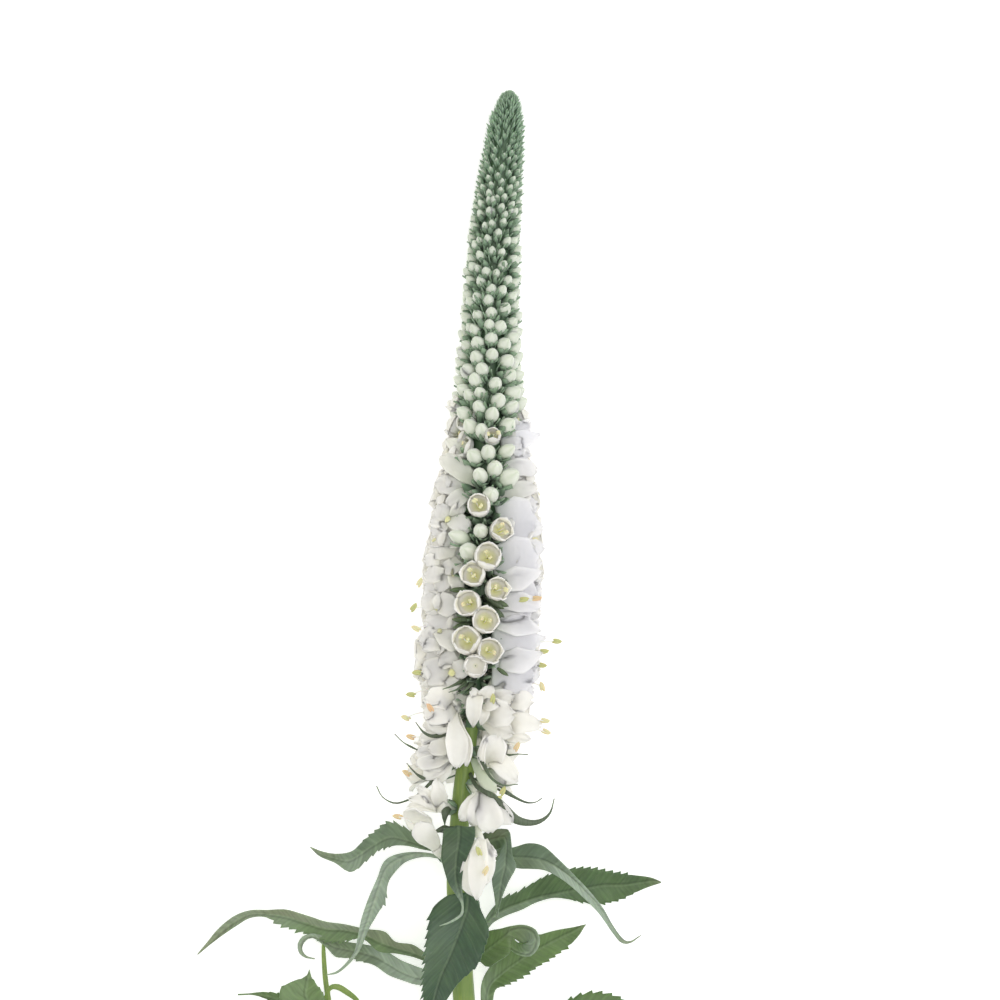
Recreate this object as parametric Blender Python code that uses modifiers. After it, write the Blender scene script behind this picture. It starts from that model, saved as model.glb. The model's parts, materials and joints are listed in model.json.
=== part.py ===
"""A cut stem of white veronica: a tapering flower spike on a leafy stem, lying on a table.

The spike points along +Y, the side that faces a viewer looks up along +Z, and the table is z = 0.
The numbers below are in millimetres, and every point is turned to metres as it is placed.
"""

import math
import random

import bmesh
import bpy
from mathutils import Matrix, Vector
from mathutils.geometry import delaunay_2d_cdt

MM = 0.001
SHARP_FROM = 40.0        # degrees between two faces, from which their edge is drawn sharp
SEAT_GAP = 0.3           # between a piece and the piece that carries it
FULL_TURN = 2 * math.pi
GOLDEN_ANGLE = math.radians(137.508)
SEED = 40

# The middle line of the stem and of the spike, from the cut end to the tip: x, y, height, stem radius.
MIDDLE_LINE = [
    (10.0, -120.0, 2.8, 2.30),
    (9.2, -100.0, 5.0, 2.30),
    (8.2, -78.0, 7.4, 2.25),
    (6.6, -54.0, 9.6, 2.15),
    (5.8, -38.0, 10.7, 2.10),
    (6.8, -22.0, 11.2, 2.05),
    (8.8, -8.0, 11.4, 1.95),
    (10.4, 14.0, 10.9, 1.75),
    (11.6, 38.0, 9.5, 1.55),
    (12.2, 62.0, 7.6, 1.35),
    (13.2, 88.0, 5.9, 1.10),
    (15.2, 108.0, 4.9, 0.80),
    (16.4, 119.0, 4.4, 0.45),
]
HEAD_FROM_Y = -30.6      # where the leafy stem ends and the flower spike begins
CUT_SLANT = 40.0         # degrees off square, at the cut end
CUT_BLOCK = (20, 10, 20)
JOINT_SWELLING = 0.45    # extra stem radius where a ring of leaves grows
SWELLING_REACH = 1.6     # how far up and down the stem it fades
LEAF_RINGS_Y = (-33.0, -53.5, -77.5)

# The spike, by distance from its tip: reach from the middle line, width of a floret, lean towards
# the tip in degrees, radius of the core, how far the corolla is open, and the step along the
# middle line from one bud to the next.
SPIKE_SHAPE = [
    (0.0, 1.3, 1.2, 48.0, 0.6, 0.0, 0.27),
    (3.0, 2.5, 1.5, 48.0, 1.3, 0.0, 0.265),
    (10.0, 3.9, 1.8, 46.0, 2.4, 0.0, 0.255),
    (20.0, 4.8, 2.0, 42.0, 3.1, 0.0, 0.275),
    (32.0, 5.5, 2.2, 36.0, 3.6, 0.0, 0.31),
    (50.0, 6.5, 2.7, 30.0, 4.2, 0.0, 0.35),
    (70.0, 8.2, 3.2, 26.0, 4.8, 0.0, 0.40),
    (84.0, 9.6, 4.6, 18.0, 5.0, 0.25, 0.48),
    (100.0, 11.4, 5.8, 10.0, 5.6, 0.7, 0.63),
    (112.0, 12.0, 6.5, 4.0, 5.0, 1.0, 0.80),
    (124.0, 11.8, 6.6, -4.0, 3.4, 1.0, 0.95),
    (136.0, 11.4, 6.4, -16.0, 2.2, 1.0, 1.05),
    (150.0, 11.0, 6.0, -20.0, 2.1, 1.0, 1.1),
]
REACH, WIDTH, LEAN, CORE, OPENNESS, STEP = range(1, 7)
FIRST_BUD = 1.0          # distance of the first bud from the tip
OPEN_FROM = 82.0         # past this distance a bud is a floret
LOOSE_FROM = 117.0       # past this distance the upper side has only the placed florets
LOOSE_SIDE = 0.25        # upper side: where the way out from the middle line rises by more than this
CORE_EVERY = 3           # the core takes one in so many points of the middle line
SPIKE_LENGTH = 138.0     # over which buds follow the rule
BUD_SHOULDER = 0.62      # a bud's shoulder: its share of the way to the valley, and of the height
TIP_RING, LOW_RING = 5, 20   # vertices of the rings that close the buds' surface at its two ends
TIP_RING_AT = 0.4        # distance of the upper ring from the tip
UNROLL_STEP = 0.5        # step along the spike as it is unrolled
ROOT_DEPTH = 1.2         # how deep a floret's root is sunk in the core
TURN_VARIES = 5          # degrees either way, from one floret to the next
LEAN_VARIES = 7
LENGTH_VARIES = (0.92, 1.06)
WIDTH_VARIES = (0.93, 1.07)
PETAL_THICKNESS = 0.6
LOBES = 4                # of a corolla; the shares below are of its mouth's radius and of its length
NOTCH = {1: 0.92, 2: 0.80}   # reach of the notch between two lobes, by the tip vertices of a lobe
NOTCH_HEIGHT = 0.84
FLARE = 0.12             # how much further a lobe reaches when it is open
OPEN_DROP = 0.08         # how much lower it then stands
ROOT_RADIUS = 0.42
THROAT_HEIGHT = 0.45
LIP_CROWN = 0.12         # height of the lip's inner edge over its outer one

# The loose florets at the foot of the spike: mouth x, y, height, y of the root, width.
PLACED_FLORETS = [
    (10.6, -1.8, 23.0, 1.0, 5.2),
    (6.6, -12.0, 22.4, -6.0, 4.8),
    (1.0, -3.6, 20.0, -1.0, 5.2),
    (-0.4, -13.0, 17.6, -9.0, 5.4),
    (14.2, -12.0, 21.2, -8.0, 5.4),
    (17.4, -5.6, 19.0, -2.0, 5.4),
    (17.2, -15.6, 17.6, -12.0, 4.4),
    (1.6, -19.8, 17.4, -15.0, 4.6),
    (-2.6, -25.4, 14.6, -26.0, 4.8),
    (12.2, -23.4, 19.6, -19.0, 6.4),
    (11.0, -33.6, 19.4, -23.0, 4.4),
]

# Long narrow bracts under the lowest florets: points on the way from the root to the tip.
BRACTS = [
    [(5.0, -15.5, 13.0), (0.4, -20.6, 15.2), (-5.0, -22.6, 15.6), (-10.0, -19.4, 15.0)],
    [(8.2, -4.6, 12.2), (4.0, -8.8, 15.6), (-1.0, -8.2, 16.6), (-2.6, -6.0, 16.4)],
    [(9.6, -12.4, 13.6), (12.6, -17.2, 18.2), (14.8, -18.8, 19.6), (18.0, -18.6, 19.8)],
    [(8.4, -16.0, 13.6), (11.0, -20.4, 17.4), (17.0, -24.8, 17.8), (21.6, -26.2, 17.0), (25.4, -21.2, 16.4)],
    [(9.4, -18.6, 12.8), (16.0, -20.0, 15.4), (19.0, -22.0, 15.4), (22.4, -21.4, 15.0)],
]
BRACT_RADIUS = 0.42
BRACT_TAPER = 0.6        # share of the radius lost on the way to the tip
BRACT_STEPS = 6

LEAF_THICKNESS = 0.6
TEETH_STEPS = 18         # stretches along a blade; a tooth takes two
TOOTH_DEPTH = 0.14       # share of the blade's half width
TEETH_FROM = 0.15        # share of the length at each end that has no teeth
BLADE_FULLNESS = 1.15    # a lower power makes a blunter blade
STALK_HALF_WIDTH = 0.6
POINT_HALF_WIDTH = 0.35
STRAIGHT_START = 1.0     # over which a leaf stalk leaves the stem square to it
LYING_HEIGHT = 1.6       # a blade this near the table flattens on to it

# Each leaf: the route of its midrib from the stem, the directions that its upper face looks in along
# that route, its half width, the fold along the midrib in degrees, and where along it it is widest.
LEAVES = {
    "leaf_upper_left": {
        "route": [
            (3.4, -32.2, 11.9), (-1.2, -30.2, 13.2), (-7.2, -30.6, 13.0), (-13.2, -34.0, 10.8),
            (-18.0, -34.0, 8.8), (-23.0, -32.0, 8.2),
        ],
        "faces": [
            (0, 0.75, 0.65), (-0.1, 0.7, 0.7), (0, 0.6, 0.8),
        ],
        "half_width": 3.3, "fold": 16, "widest": 0.42,
    },
    "leaf_upper_left_drooping": {
        "route": [
            (3.5, -33.6, 10.2), (-0.6, -32.6, 9.6), (-5.4, -33.2, 9.4), (-8.6, -37.0, 9.2),
            (-10.6, -43.0, 9.4), (-12.4, -49.0, 10.0), (-14.0, -53.4, 10.4), (-17.0, -56.2, 10.4),
            (-20.4, -56.8, 10.2),
        ],
        "faces": [
            (0, 0.9, -0.3), (-0.5, 0.75, -0.3), (-0.9, 0.2, -0.45), (-0.9, 0.2, -0.4),
            (-0.7, 0.5, -0.3), (-0.2, 0.9, -0.2),
        ],
        "half_width": 2.6, "fold": 22, "widest": 0.42,
    },
    "leaf_upper_front": {
        "route": [
            (5.4, -33.0, 14.2), (5.2, -30.6, 16.8), (5.5, -28.6, 19.4), (6.0, -29.4, 21.6),
            (6.3, -34.0, 23.4), (6.9, -39.0, 24.2), (6.4, -43.6, 25.4), (2.8, -45.6, 26.4),
        ],
        "faces": [
            (0, 0.8, -0.5), (0, 0.6, 0.6), (0, 0.2, 1), (0, 0.2, 1), (0, 0.2, 1),
        ],
        "half_width": 3.3, "fold": 12, "widest": 0.55,
    },
    "leaf_upper_right_front": {
        "route": [
            (8.4, -33.2, 12.8), (12.4, -31.6, 13.4), (15.8, -29.6, 14.4), (16.8, -32.0, 17.4),
            (15.8, -38.4, 18.6), (14.2, -46.6, 18.2),
        ],
        "faces": [
            (0.1, 0.9, -0.2), (0.4, 0.8, 0.4), (0.75, 0.1, 0.6), (0.7, 0, 0.7), (0.6, 0, 0.8),
        ],
        "half_width": 2.6, "fold": 18, "widest": 0.55,
    },
    "leaf_upper_right": {
        "route": [
            (8.6, -33.0, 10.6), (14.4, -31.9, 11.2), (20.4, -31.8, 12.4), (26.0, -33.2, 12.8),
            (31.4, -38.4, 12.4), (35.4, -44.6, 11.6), (38.4, -49.0, 11.0), (41.8, -49.6, 10.8),
        ],
        "faces": [
            (0, 0.75, 0.65), (0.1, 0.75, 0.6), (0.65, 0.65, -0.25), (0.75, 0.5, -0.3), (0.3, 0.9, 0),
        ],
        "half_width": 3.2, "fold": 16, "widest": 0.3,
    },
    "leaf_middle_front": {
        "route": [
            (6.6, -53.2, 13.3), (7.4, -49.6, 16.0), (8.0, -44.0, 18.6), (7.4, -43.0, 20.0),
            (5.4, -50.0, 22.0), (3.4, -57.0, 21.4), (1.6, -63.0, 19.6), (0.2, -69.0, 17.0),
        ],
        "faces": [
            (0, 0.8, -0.5), (0, 0.7, 0.5), (0, 0.2, 1), (0, 0, 1), (0, -0.2, 1),
        ],
        "half_width": 5.9, "fold": 14, "widest": 0.6,
    },
    "leaf_middle_right": {
        "route": [
            (9.2, -52.6, 10.6), (13.0, -48.4, 9.6), (18.4, -43.6, 7.6), (26.4, -40.6, 4.6),
            (34.4, -39.0, 1.0), (41.0, -38.6, 0.3), (46.4, -38.2, 0.6),
        ],
        "faces": [
            (-0.2, 0.5, 0.85), (0, 0.45, 0.9), (0, 0.25, 0.95), (0, 0.1, 1),
        ],
        "half_width": 3.7, "fold": 14, "widest": 0.5,
    },
    "leaf_middle_left_long": {
        "route": [
            (4.0, -53.4, 9.6), (-1.2, -52.8, 9.2), (-8.6, -50.2, 7.2), (-17.0, -48.8, 3.6),
            (-25.6, -46.8, 1.2), (-33.0, -45.4, 0.3), (-39.6, -46.4, 0.3), (-43.4, -49.4, 0.8),
            (-46.4, -52.8, 1.2),
        ],
        "faces": [
            (0, 0.7, 0.7), (0, 0.55, 0.8), (0, 0.35, 0.9), (0, 0.2, 1),
        ],
        "half_width": 3.5, "fold": 16, "widest": 0.38,
    },
    "leaf_middle_left_curled": {
        "route": [
            (4.2, -55.0, 8.4), (-1.0, -58.4, 6.4), (-6.6, -56.8, 4.4), (-12.6, -54.4, 3.0),
            (-18.6, -53.0, 2.6), (-23.2, -50.8, 3.0), (-25.8, -51.6, 3.4), (-25.6, -53.6, 3.6),
            (-23.8, -54.2, 3.6),
        ],
        "faces": [
            (0, 0.6, -0.6), (0, 0.5, -0.8), (0, 1, -0.1), (0, 0.7, 0.7), (0.2, 0.9, 0.3),
            (-1, 0.1, 0.3), (0, -1, 0.3),
        ],
        "half_width": 2.3, "fold": 20, "widest": 0.36,
    },
    "leaf_middle_right_rolled": {
        "route": [
            (9.3, -53.6, 11.9), (12.0, -51.4, 13.4), (15.2, -48.6, 14.2), (18.6, -47.0, 14.6),
            (21.3, -48.4, 14.6), (21.4, -51.0, 14.4), (19.0, -52.4, 14.2), (17.2, -51.0, 14.0),
        ],
        "faces": [
            (-0.5, 0.7, 0.4), (-0.5, 0.8, 0.4), (-0.1, 1, 0.3), (0.8, 0.6, 0.3), (0.9, -0.4, 0.3),
            (0, -1, 0.3), (-0.9, -0.4, 0.3),
        ],
        "half_width": 2.0, "fold": 10, "widest": 0.4,
    },
    "leaf_lower_right_raised": {
        "route": [
            (10.8, -76.6, 10.6), (13.8, -71.0, 9.8), (14.2, -61.6, 8.4), (17.4, -56.8, 7.2),
            (22.4, -52.6, 5.4), (27.4, -49.6, 4.0), (31.4, -47.6, 3.4),
        ],
        "faces": [
            (-0.4, 0.1, 0.9), (-0.3, 0.2, 0.9), (-0.3, 0.3, 0.9),
        ],
        "half_width": 3.2, "fold": 14, "widest": 0.55,
    },
    "leaf_lower_right": {
        "route": [
            (10.9, -78.0, 8.8), (17.0, -75.0, 7.4), (26.0, -70.0, 4.6), (33.0, -66.0, 2.6),
            (39.4, -65.6, 1.0), (45.4, -68.6, 0.3),
        ],
        "faces": [
            (0, 0.4, 0.9), (0, 0.35, 0.9), (0, 0.2, 1),
        ],
        "half_width": 4.4, "fold": 14, "widest": 0.48,
    },
    "leaf_lower_left": {
        "route": [
            (5.4, -77.2, 8.6), (-2.0, -75.0, 6.8), (-12.0, -70.4, 3.6), (-22.0, -65.0, 1.0),
            (-30.0, -62.2, 0.3), (-38.4, -61.4, 0.3),
        ],
        "faces": [
            (0, 0.4, 0.9), (0, 0.3, 0.95), (0, 0.1, 1),
        ],
        "half_width": 3.2, "fold": 14, "widest": 0.45,
    },
    "leaf_lower_front": {
        "route": [
            (8.4, -77.0, 12.4), (9.2, -75.0, 14.6), (10.0, -72.2, 16.6), (9.6, -75.6, 18.8),
            (8.6, -84.0, 18.4), (7.6, -93.0, 15.8), (7.0, -100.0, 13.2),
        ],
        "faces": [
            (0, 0.8, -0.5), (0, 0.6, 0.6), (0, 0.1, 1), (0, -0.2, 1), (0, -0.3, 0.9),
        ],
        "half_width": 4.4, "fold": 14, "widest": 0.55,
    },
    "leaf_lower_back": {
        "route": [
            (9.6, -78.6, 4.4), (11.8, -82.4, 2.2), (12.8, -90.0, 0.8), (16.0, -97.0, 0.3),
            (19.0, -105.0, 0.3),
        ],
        "faces": [
            (0, 0.5, 0.8), (0, 0.2, 1), (0, 0, 1),
        ],
        "half_width": 3.8, "fold": 12, "widest": 0.45,
    },
    "leaf_side_shoot": {
        "route": [
            (-21.0, -67.2, 6.0), (-23.4, -64.2, 7.0), (-24.8, -60.6, 7.4), (-24.2, -56.6, 7.2),
        ],
        "faces": [
            (0, -0.2, 1), (0, -0.2, 1),
        ],
        "half_width": 3.6, "fold": 20, "widest": 0.42,
    },
}

# The thin side shoot that rises from the lowest ring of leaves: x, y, height, radius.
SIDE_SHOOT = [
    (8.0, -79.5, 7.4, 1.0),
    (-3.0, -80.0, 8.0, 0.95),
    (-13.0, -76.0, 7.4, 0.85),
    (-19.0, -69.0, 5.4, 0.75),
    (-20.6, -61.0, 5.0, 0.65),
    (-21.0, -54.0, 5.8, 0.5),
]
SHOOT_STEPS = 14
LINE_STEPS = 130         # of the middle line
TABLE_BLOCK = (200, 300, 20)

LEAF_GREEN = (0.075, 0.16, 0.085, 1)
STEM_GREEN = (0.2, 0.31, 0.1, 1)
PETAL_WHITE = (0.82, 0.83, 0.76, 1)


def smooth_line(points, steps):
    """Evenly spaced points on a Catmull-Rom curve through points of any dimension."""
    first = [2 * a - b for a, b in zip(points[0], points[1])]
    last = [2 * a - b for a, b in zip(points[-1], points[-2])]
    ends = [first, *points, last]
    fine = []
    per_span = 16
    for i in range(1, len(ends) - 2):
        for k in range(per_span):
            fine.append(span_point(ends[i - 1:i + 3], k / per_span))
    fine.append(list(points[-1]))
    lengths = [0.0]
    for a, b in zip(fine, fine[1:]):
        lengths.append(lengths[-1] + math.dist(a[:3], b[:3]))
    made, j = [], 0
    for k in range(steps + 1):
        want = lengths[-1] * k / steps
        while j < len(lengths) - 2 and lengths[j + 1] < want:
            j += 1
        share = (want - lengths[j]) / max(lengths[j + 1] - lengths[j], 1e-9)
        made.append([a + (b - a) * min(share, 1) for a, b in zip(fine[j], fine[j + 1])])
    return made


def span_point(four, t):
    """A point between the second and the third of four points."""
    return [
        0.5 * (2 * b + (c - a) * t + (2 * a - 5 * b + 4 * c - d) * t * t + (3 * b - a - 3 * c + d) * t ** 3)
        for a, b, c, d in zip(*four)
    ]


def blend(rows, at):
    """The row of a table at a value of its first column."""
    at = min(max(at, rows[0][0]), rows[-1][0])
    for low, high in zip(rows, rows[1:]):
        if at <= high[0]:
            share = (at - low[0]) / (high[0] - low[0])
            return [a + (b - a) * share for a, b in zip(low, high)]


def material(name, colour, roughness):
    made = bpy.data.materials.new(name)
    made.use_nodes = True
    shader = made.node_tree.nodes["Principled BSDF"]
    shader.inputs["Base Color"].default_value = colour
    shader.inputs["Roughness"].default_value = roughness
    return made


def add_object(name, mesh, collection, finish=None):
    made = bpy.data.objects.new(name, mesh)
    collection.objects.link(made)
    if finish:
        mesh.materials.append(finish)
    return made


def floret_mesh(width, length, openness, tips):
    """A corolla of four lobes on a short tube, with an open throat. A lobe has one tip vertex or two."""
    mouth = width / 2
    per_lobe = tips + 1
    bm = bmesh.new()
    base = [polar(bm, ROOT_RADIUS * mouth, lobe / LOBES, 0) for lobe in range(LOBES)]
    rim, inner = [], []
    for k in range(LOBES * per_lobe):
        at_notch = k % per_lobe == 0
        out = mouth * (NOTCH[tips] if at_notch else 1 + FLARE * openness)
        height = length * (NOTCH_HEIGHT if at_notch else 1 - OPEN_DROP * openness)
        share = k / per_lobe / LOBES
        rim.append(polar(bm, out, share, height))
        inner.append(polar(bm, out - PETAL_THICKNESS, share, height + LIP_CROWN))
    throat = bm.verts.new((0, 0, THROAT_HEIGHT * length * MM))
    for i, outer in enumerate(rim):
        j = (i + 1) % len(rim)
        lobe = i // per_lobe
        bm.faces.new((base[lobe], rim[j], outer))
        bm.faces.new((outer, rim[j], inner[j], inner[i]))
        bm.faces.new((inner[i], inner[j], throat))
        if j % per_lobe == 0:
            bm.faces.new((base[lobe], base[(lobe + 1) % LOBES], rim[j]))
    bm.faces.new(base)
    return closed_mesh("floret", bm)


def polar(bm, radius, share, height):
    """A vertex at a share of a full turn about Z."""
    angle = FULL_TURN * share
    return bm.verts.new((radius * math.cos(angle) * MM, radius * math.sin(angle) * MM, height * MM))


def closed_mesh(name, bm):
    """A mesh of triangles that face out, from a closed bmesh."""
    bmesh.ops.triangulate(bm, faces=bm.faces)
    bmesh.ops.recalc_face_normals(bm, faces=bm.faces)
    mesh = bpy.data.meshes.new(name)
    bm.to_mesh(mesh)
    bm.free()
    return mesh


def spiral():
    """Distance from the tip and turn about the middle line of every bud and floret, youngest first."""
    found, distance = [], FIRST_BUD
    while distance < SPIKE_LENGTH:
        found.append((distance, len(found) * GOLDEN_ANGLE))
        distance += blend(SPIKE_SHAPE, distance)[STEP]
    return found


def bud_surface_point(line, distance, turn, share):
    """A point on the buds' surface: share is 0 in the valleys between buds and 1 at a bud's tip."""
    shape = blend(SPIKE_SHAPE, distance)
    height = (shape[REACH] - shape[CORE]) * share
    place, _, up, side = line_frame(line, distance - height * math.tan(math.radians(shape[LEAN])))
    return (place + (up * math.cos(turn) + side * math.sin(turn)) * (shape[CORE] + height)) * MM


def unrolled(distance):
    """The distance from the tip as it is when the tapering spike is unrolled to one width."""
    steps = max(round(distance / UNROLL_STEP), 1)
    total = 0.0
    for k in range(steps):
        shape = blend(SPIKE_SHAPE, distance * (k + 0.5) / steps)
        total += distance / steps * 2 / (shape[REACH] + shape[CORE])
    return total


def fans_of_neighbours(points):
    """For each point of the spiral, in order round it, the triangles that it makes with its neighbours.

    A triangle is given by a key that its three points share, the way to its middle on the unrolled
    surface, and its points. The surface is laid out three times, side by side, to close it round.
    """
    count = len(points)
    flat = []
    for copy in (-1, 0, 1):
        for distance, turn in points:
            flat.append(Vector((turn % FULL_TURN + FULL_TURN * copy, unrolled(distance))))
    placed, _, triangles, sources, _, _ = delaunay_2d_cdt(flat, [], [], 0, 1e-7)
    fans = [[] for _ in points]
    for triangle in triangles:
        corners = [divmod(sources[v][0], count) for v in triangle]
        first_copy = min(corners, key=lambda corner: corner[1])[0]
        key = tuple(sorted((i, copy - first_copy) for copy, i in corners))
        middle = sum((placed[v] for v in triangle), Vector((0, 0))) / 3
        for copy, i in corners:
            if copy == 1:
                fans[i].append((key, middle - flat[count + i], {corner[1] for corner in corners}))
    return [sorted(fan, key=lambda one: math.atan2(one[1].y, one[1].x)) for fan in fans]


def bud_relief_mesh(line, buds):
    """The close buds: a six-sided dome on each point of their spiral, down to the core between them."""
    tip_end = [(TIP_RING_AT, FULL_TURN * k / TIP_RING) for k in range(TIP_RING)]
    low_end = [(OPEN_FROM + 3.0, FULL_TURN * k / LOW_RING) for k in range(LOW_RING)]
    points = [*buds, *tip_end, *low_end]
    fans = fans_of_neighbours(points)
    bm = bmesh.new()

    def vertex(distance, turn, share):
        return bm.verts.new(bud_surface_point(line, distance, turn, share))

    tops, valleys = [], {}
    for i, (distance, turn) in enumerate(points):
        is_bud = i < len(buds)
        tops.append(vertex(distance, turn, 1.0 if is_bud else 0.0))
        shoulders = []
        for key, offset, _ in fans[i]:
            low = sum(points[j][0] for j, _ in key) / 3
            if key not in valleys:
                valleys[key] = vertex(low, turn + offset.x, 0.0)
            if is_bud:
                at = distance + (low - distance) * BUD_SHOULDER
                shoulders.append(vertex(at, turn + offset.x * BUD_SHOULDER, BUD_SHOULDER))
        for k in range(len(fans[i]) if is_bud else len(fans[i]) - 1):
            after = (k + 1) % len(fans[i])
            near, far = valleys[fans[i][k][0]], valleys[fans[i][after][0]]
            if is_bud:
                bm.faces.new((tops[i], shoulders[k], shoulders[after]))
                bm.faces.new((shoulders[k], near, far, shoulders[after]))
            else:
                bm.faces.new((tops[i], near, far))
    for first, size in ((len(buds), TIP_RING), (len(buds) + TIP_RING, LOW_RING)):
        for i in range(first, first + size):
            j = first + (i - first + 1) % size
            for key, _, corners in fans[i]:
                if {i, j} <= corners:
                    bm.faces.new((tops[i], tops[j], valleys[key]))
        bm.faces.new(tops[first:first + size])
    return closed_mesh("buds", bm)


def line_frame(line, distance):
    """At a distance from the tip: the place, the direction to the tip, and two directions across it."""
    back = 0.0
    for low, high in zip(reversed(line[:-1]), reversed(line[1:])):
        step = math.dist(low[:3], high[:3])
        if back + step >= distance:
            break
        back += step
    share = (distance - back) / step
    place = Vector(high[:3]).lerp(Vector(low[:3]), share)
    along = (Vector(high[:3]) - Vector(low[:3])).normalized()
    up = (Vector((0, 0, 1)) - along * along.z).normalized()
    return place, along, up, along.cross(up)


def stand(place, direction, turn):
    """A matrix that stands a shape, made along +Z, at a place in millimetres and along a direction."""
    leaning = direction.to_track_quat("Z", "Y").to_matrix().to_4x4()
    return Matrix.Translation(place * MM) @ leaning @ Matrix.Rotation(turn, 4, "Z")


def tube_mesh(name, points, rounding):
    """A closed tube through points of x, y, z and radius, from a curve object with a bevel."""
    curve = bpy.data.curves.new(name, "CURVE")
    curve.dimensions = "3D"
    curve.bevel_depth = MM
    curve.bevel_resolution = rounding
    curve.use_fill_caps = True
    spline = curve.splines.new("POLY")
    spline.points.add(len(points) - 1)
    for point, (x, y, z, radius) in zip(spline.points, points):
        point.co = (x * MM, y * MM, z * MM, 1)
        point.radius = radius
    holder = bpy.data.objects.new(name, curve)
    bpy.context.scene.collection.objects.link(holder)
    graph = bpy.context.evaluated_depsgraph_get()
    mesh = bpy.data.meshes.new_from_object(holder.evaluated_get(graph))
    bpy.data.objects.remove(holder)
    bm = bmesh.new()
    bm.from_mesh(mesh)
    bmesh.ops.remove_doubles(bm, verts=bm.verts, dist=0.00001)
    bpy.data.meshes.remove(mesh)
    made = closed_mesh(name, bm)
    shade_round(made)
    return made


def shade_round(mesh):
    mesh.shade_smooth()
    mesh.set_sharp_from_angle(angle=math.radians(SHARP_FROM))


def box_object(name, collection, centre, size, turn=None):
    """A cutter: a box that is left out of the part."""
    bm = bmesh.new()
    bmesh.ops.create_cube(bm, size=MM)
    bmesh.ops.scale(bm, vec=size, verts=bm.verts)
    if turn:
        bmesh.ops.rotate(bm, matrix=turn, verts=bm.verts)
    bmesh.ops.translate(bm, vec=Vector(centre) * MM, verts=bm.verts)
    mesh = bpy.data.meshes.new(name)
    bm.to_mesh(mesh)
    bm.free()
    made = add_object(name, mesh, collection)
    made.hide_render = True
    made.display_type = "WIRE"
    return made


def join_all(target, group):
    """Unites the target with every object of a collection, and removes that collection."""
    union = target.modifiers.new("union", "BOOLEAN")
    union.operation = "UNION"
    union.operand_type = "COLLECTION"
    union.collection = group
    union.solver = "MANIFOLD"
    apply_modifiers(target)
    for used in list(group.objects):
        bpy.data.objects.remove(used)
    bpy.data.collections.remove(group)


def cut(target, cutter):
    difference = target.modifiers.new("cut", "BOOLEAN")
    difference.operation = "DIFFERENCE"
    difference.object = cutter
    difference.solver = "MANIFOLD"
    apply_modifiers(target)


def apply_modifiers(target):
    graph = bpy.context.evaluated_depsgraph_get()
    mesh = bpy.data.meshes.new_from_object(target.evaluated_get(graph))
    old = target.data
    target.modifiers.clear()
    target.data = mesh
    mesh.name = old.name + "_made"


def new_group(name):
    made = bpy.data.collections.new(name)
    bpy.context.scene.collection.children.link(made)
    return made


def core_mesh(line):
    """The core that the florets stand out of, from the foot of the spike to the first close buds."""
    foot = HEAD_FROM_Y + SEAT_GAP / 2
    head = [point_at_y(line, foot), *(p for p in line if p[1] > foot)]
    left = sum(math.dist(a[:3], b[:3]) for a, b in zip(head, head[1:]))
    core = []
    for point, after in zip(head, head[1:]):
        if left < OPEN_FROM:
            break
        core.append((*point[:3], max(blend(SPIKE_SHAPE, left)[CORE], point[3])))
        left -= math.dist(point[:3], after[:3])
    return tube_mesh("core", core[::CORE_EVERY], 3)


def make_spike(line, part, cutters, finish):
    """The flower spike: core, buds, open florets and long bracts, joined as the one body that grew."""
    spike = add_object("flower_spike", core_mesh(line), part, finish)
    places = spiral()
    buds = [place for place in places if place[0] < OPEN_FROM]
    group = new_group("repeats")
    add_object("buds", bud_relief_mesh(line, buds), group)
    for number, (distance, turn) in enumerate(places[len(buds):]):
        add_floret(line, group, number, distance, turn)
    for k, (x, y, z, root_y, width) in enumerate(PLACED_FLORETS):
        root = Vector(point_at_y(line, root_y)[:3])
        way = Vector((x, y, z)) - root
        made = add_object(f"placed_{k}", floret_mesh(width, way.length, 1.0, 2), group)
        made.matrix_world = stand(root, way, k)
    for k, route in enumerate(BRACTS):
        points = smooth_line(route, BRACT_STEPS)
        tapered = [(*p, BRACT_RADIUS * (1 - BRACT_TAPER * i / BRACT_STEPS)) for i, p in enumerate(points)]
        add_object(f"bract_{k}", tube_mesh("bract", tapered, 0), group)
    join_all(spike, group)
    cut(spike, box_object("table", cutters, (0, 0, -TABLE_BLOCK[2] / 2), TABLE_BLOCK))


def add_floret(line, group, number, distance, turn):
    """One floret of the spiral, its root sunk in the core."""
    draw = random.Random(SEED + number)
    shape = blend(SPIKE_SHAPE, distance)
    place, along, up, side = line_frame(line, distance)
    turn += math.radians(draw.uniform(-TURN_VARIES, TURN_VARIES))
    out = up * math.cos(turn) + side * math.sin(turn)
    if distance > LOOSE_FROM and out.z > LOOSE_SIDE:
        return
    lean = math.radians(shape[LEAN] + draw.uniform(-LEAN_VARIES, LEAN_VARIES))
    direction = (out * math.cos(lean) + along * math.sin(lean)).normalized()
    length = (shape[REACH] - shape[CORE]) / math.cos(lean) * draw.uniform(*LENGTH_VARIES) + ROOT_DEPTH
    root = place + out * shape[CORE] - direction * ROOT_DEPTH
    mesh = floret_mesh(shape[WIDTH] * draw.uniform(*WIDTH_VARIES), length, shape[OPENNESS], 1)
    made = add_object(f"floret_{number}", mesh, group)
    made.matrix_world = stand(root, direction, number)


def point_at_y(line, y):
    for low, high in zip(line, line[1:]):
        if low[1] <= y <= high[1]:
            share = (y - low[1]) / (high[1] - low[1])
            return [a + (b - a) * share for a, b in zip(low, high)]


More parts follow.
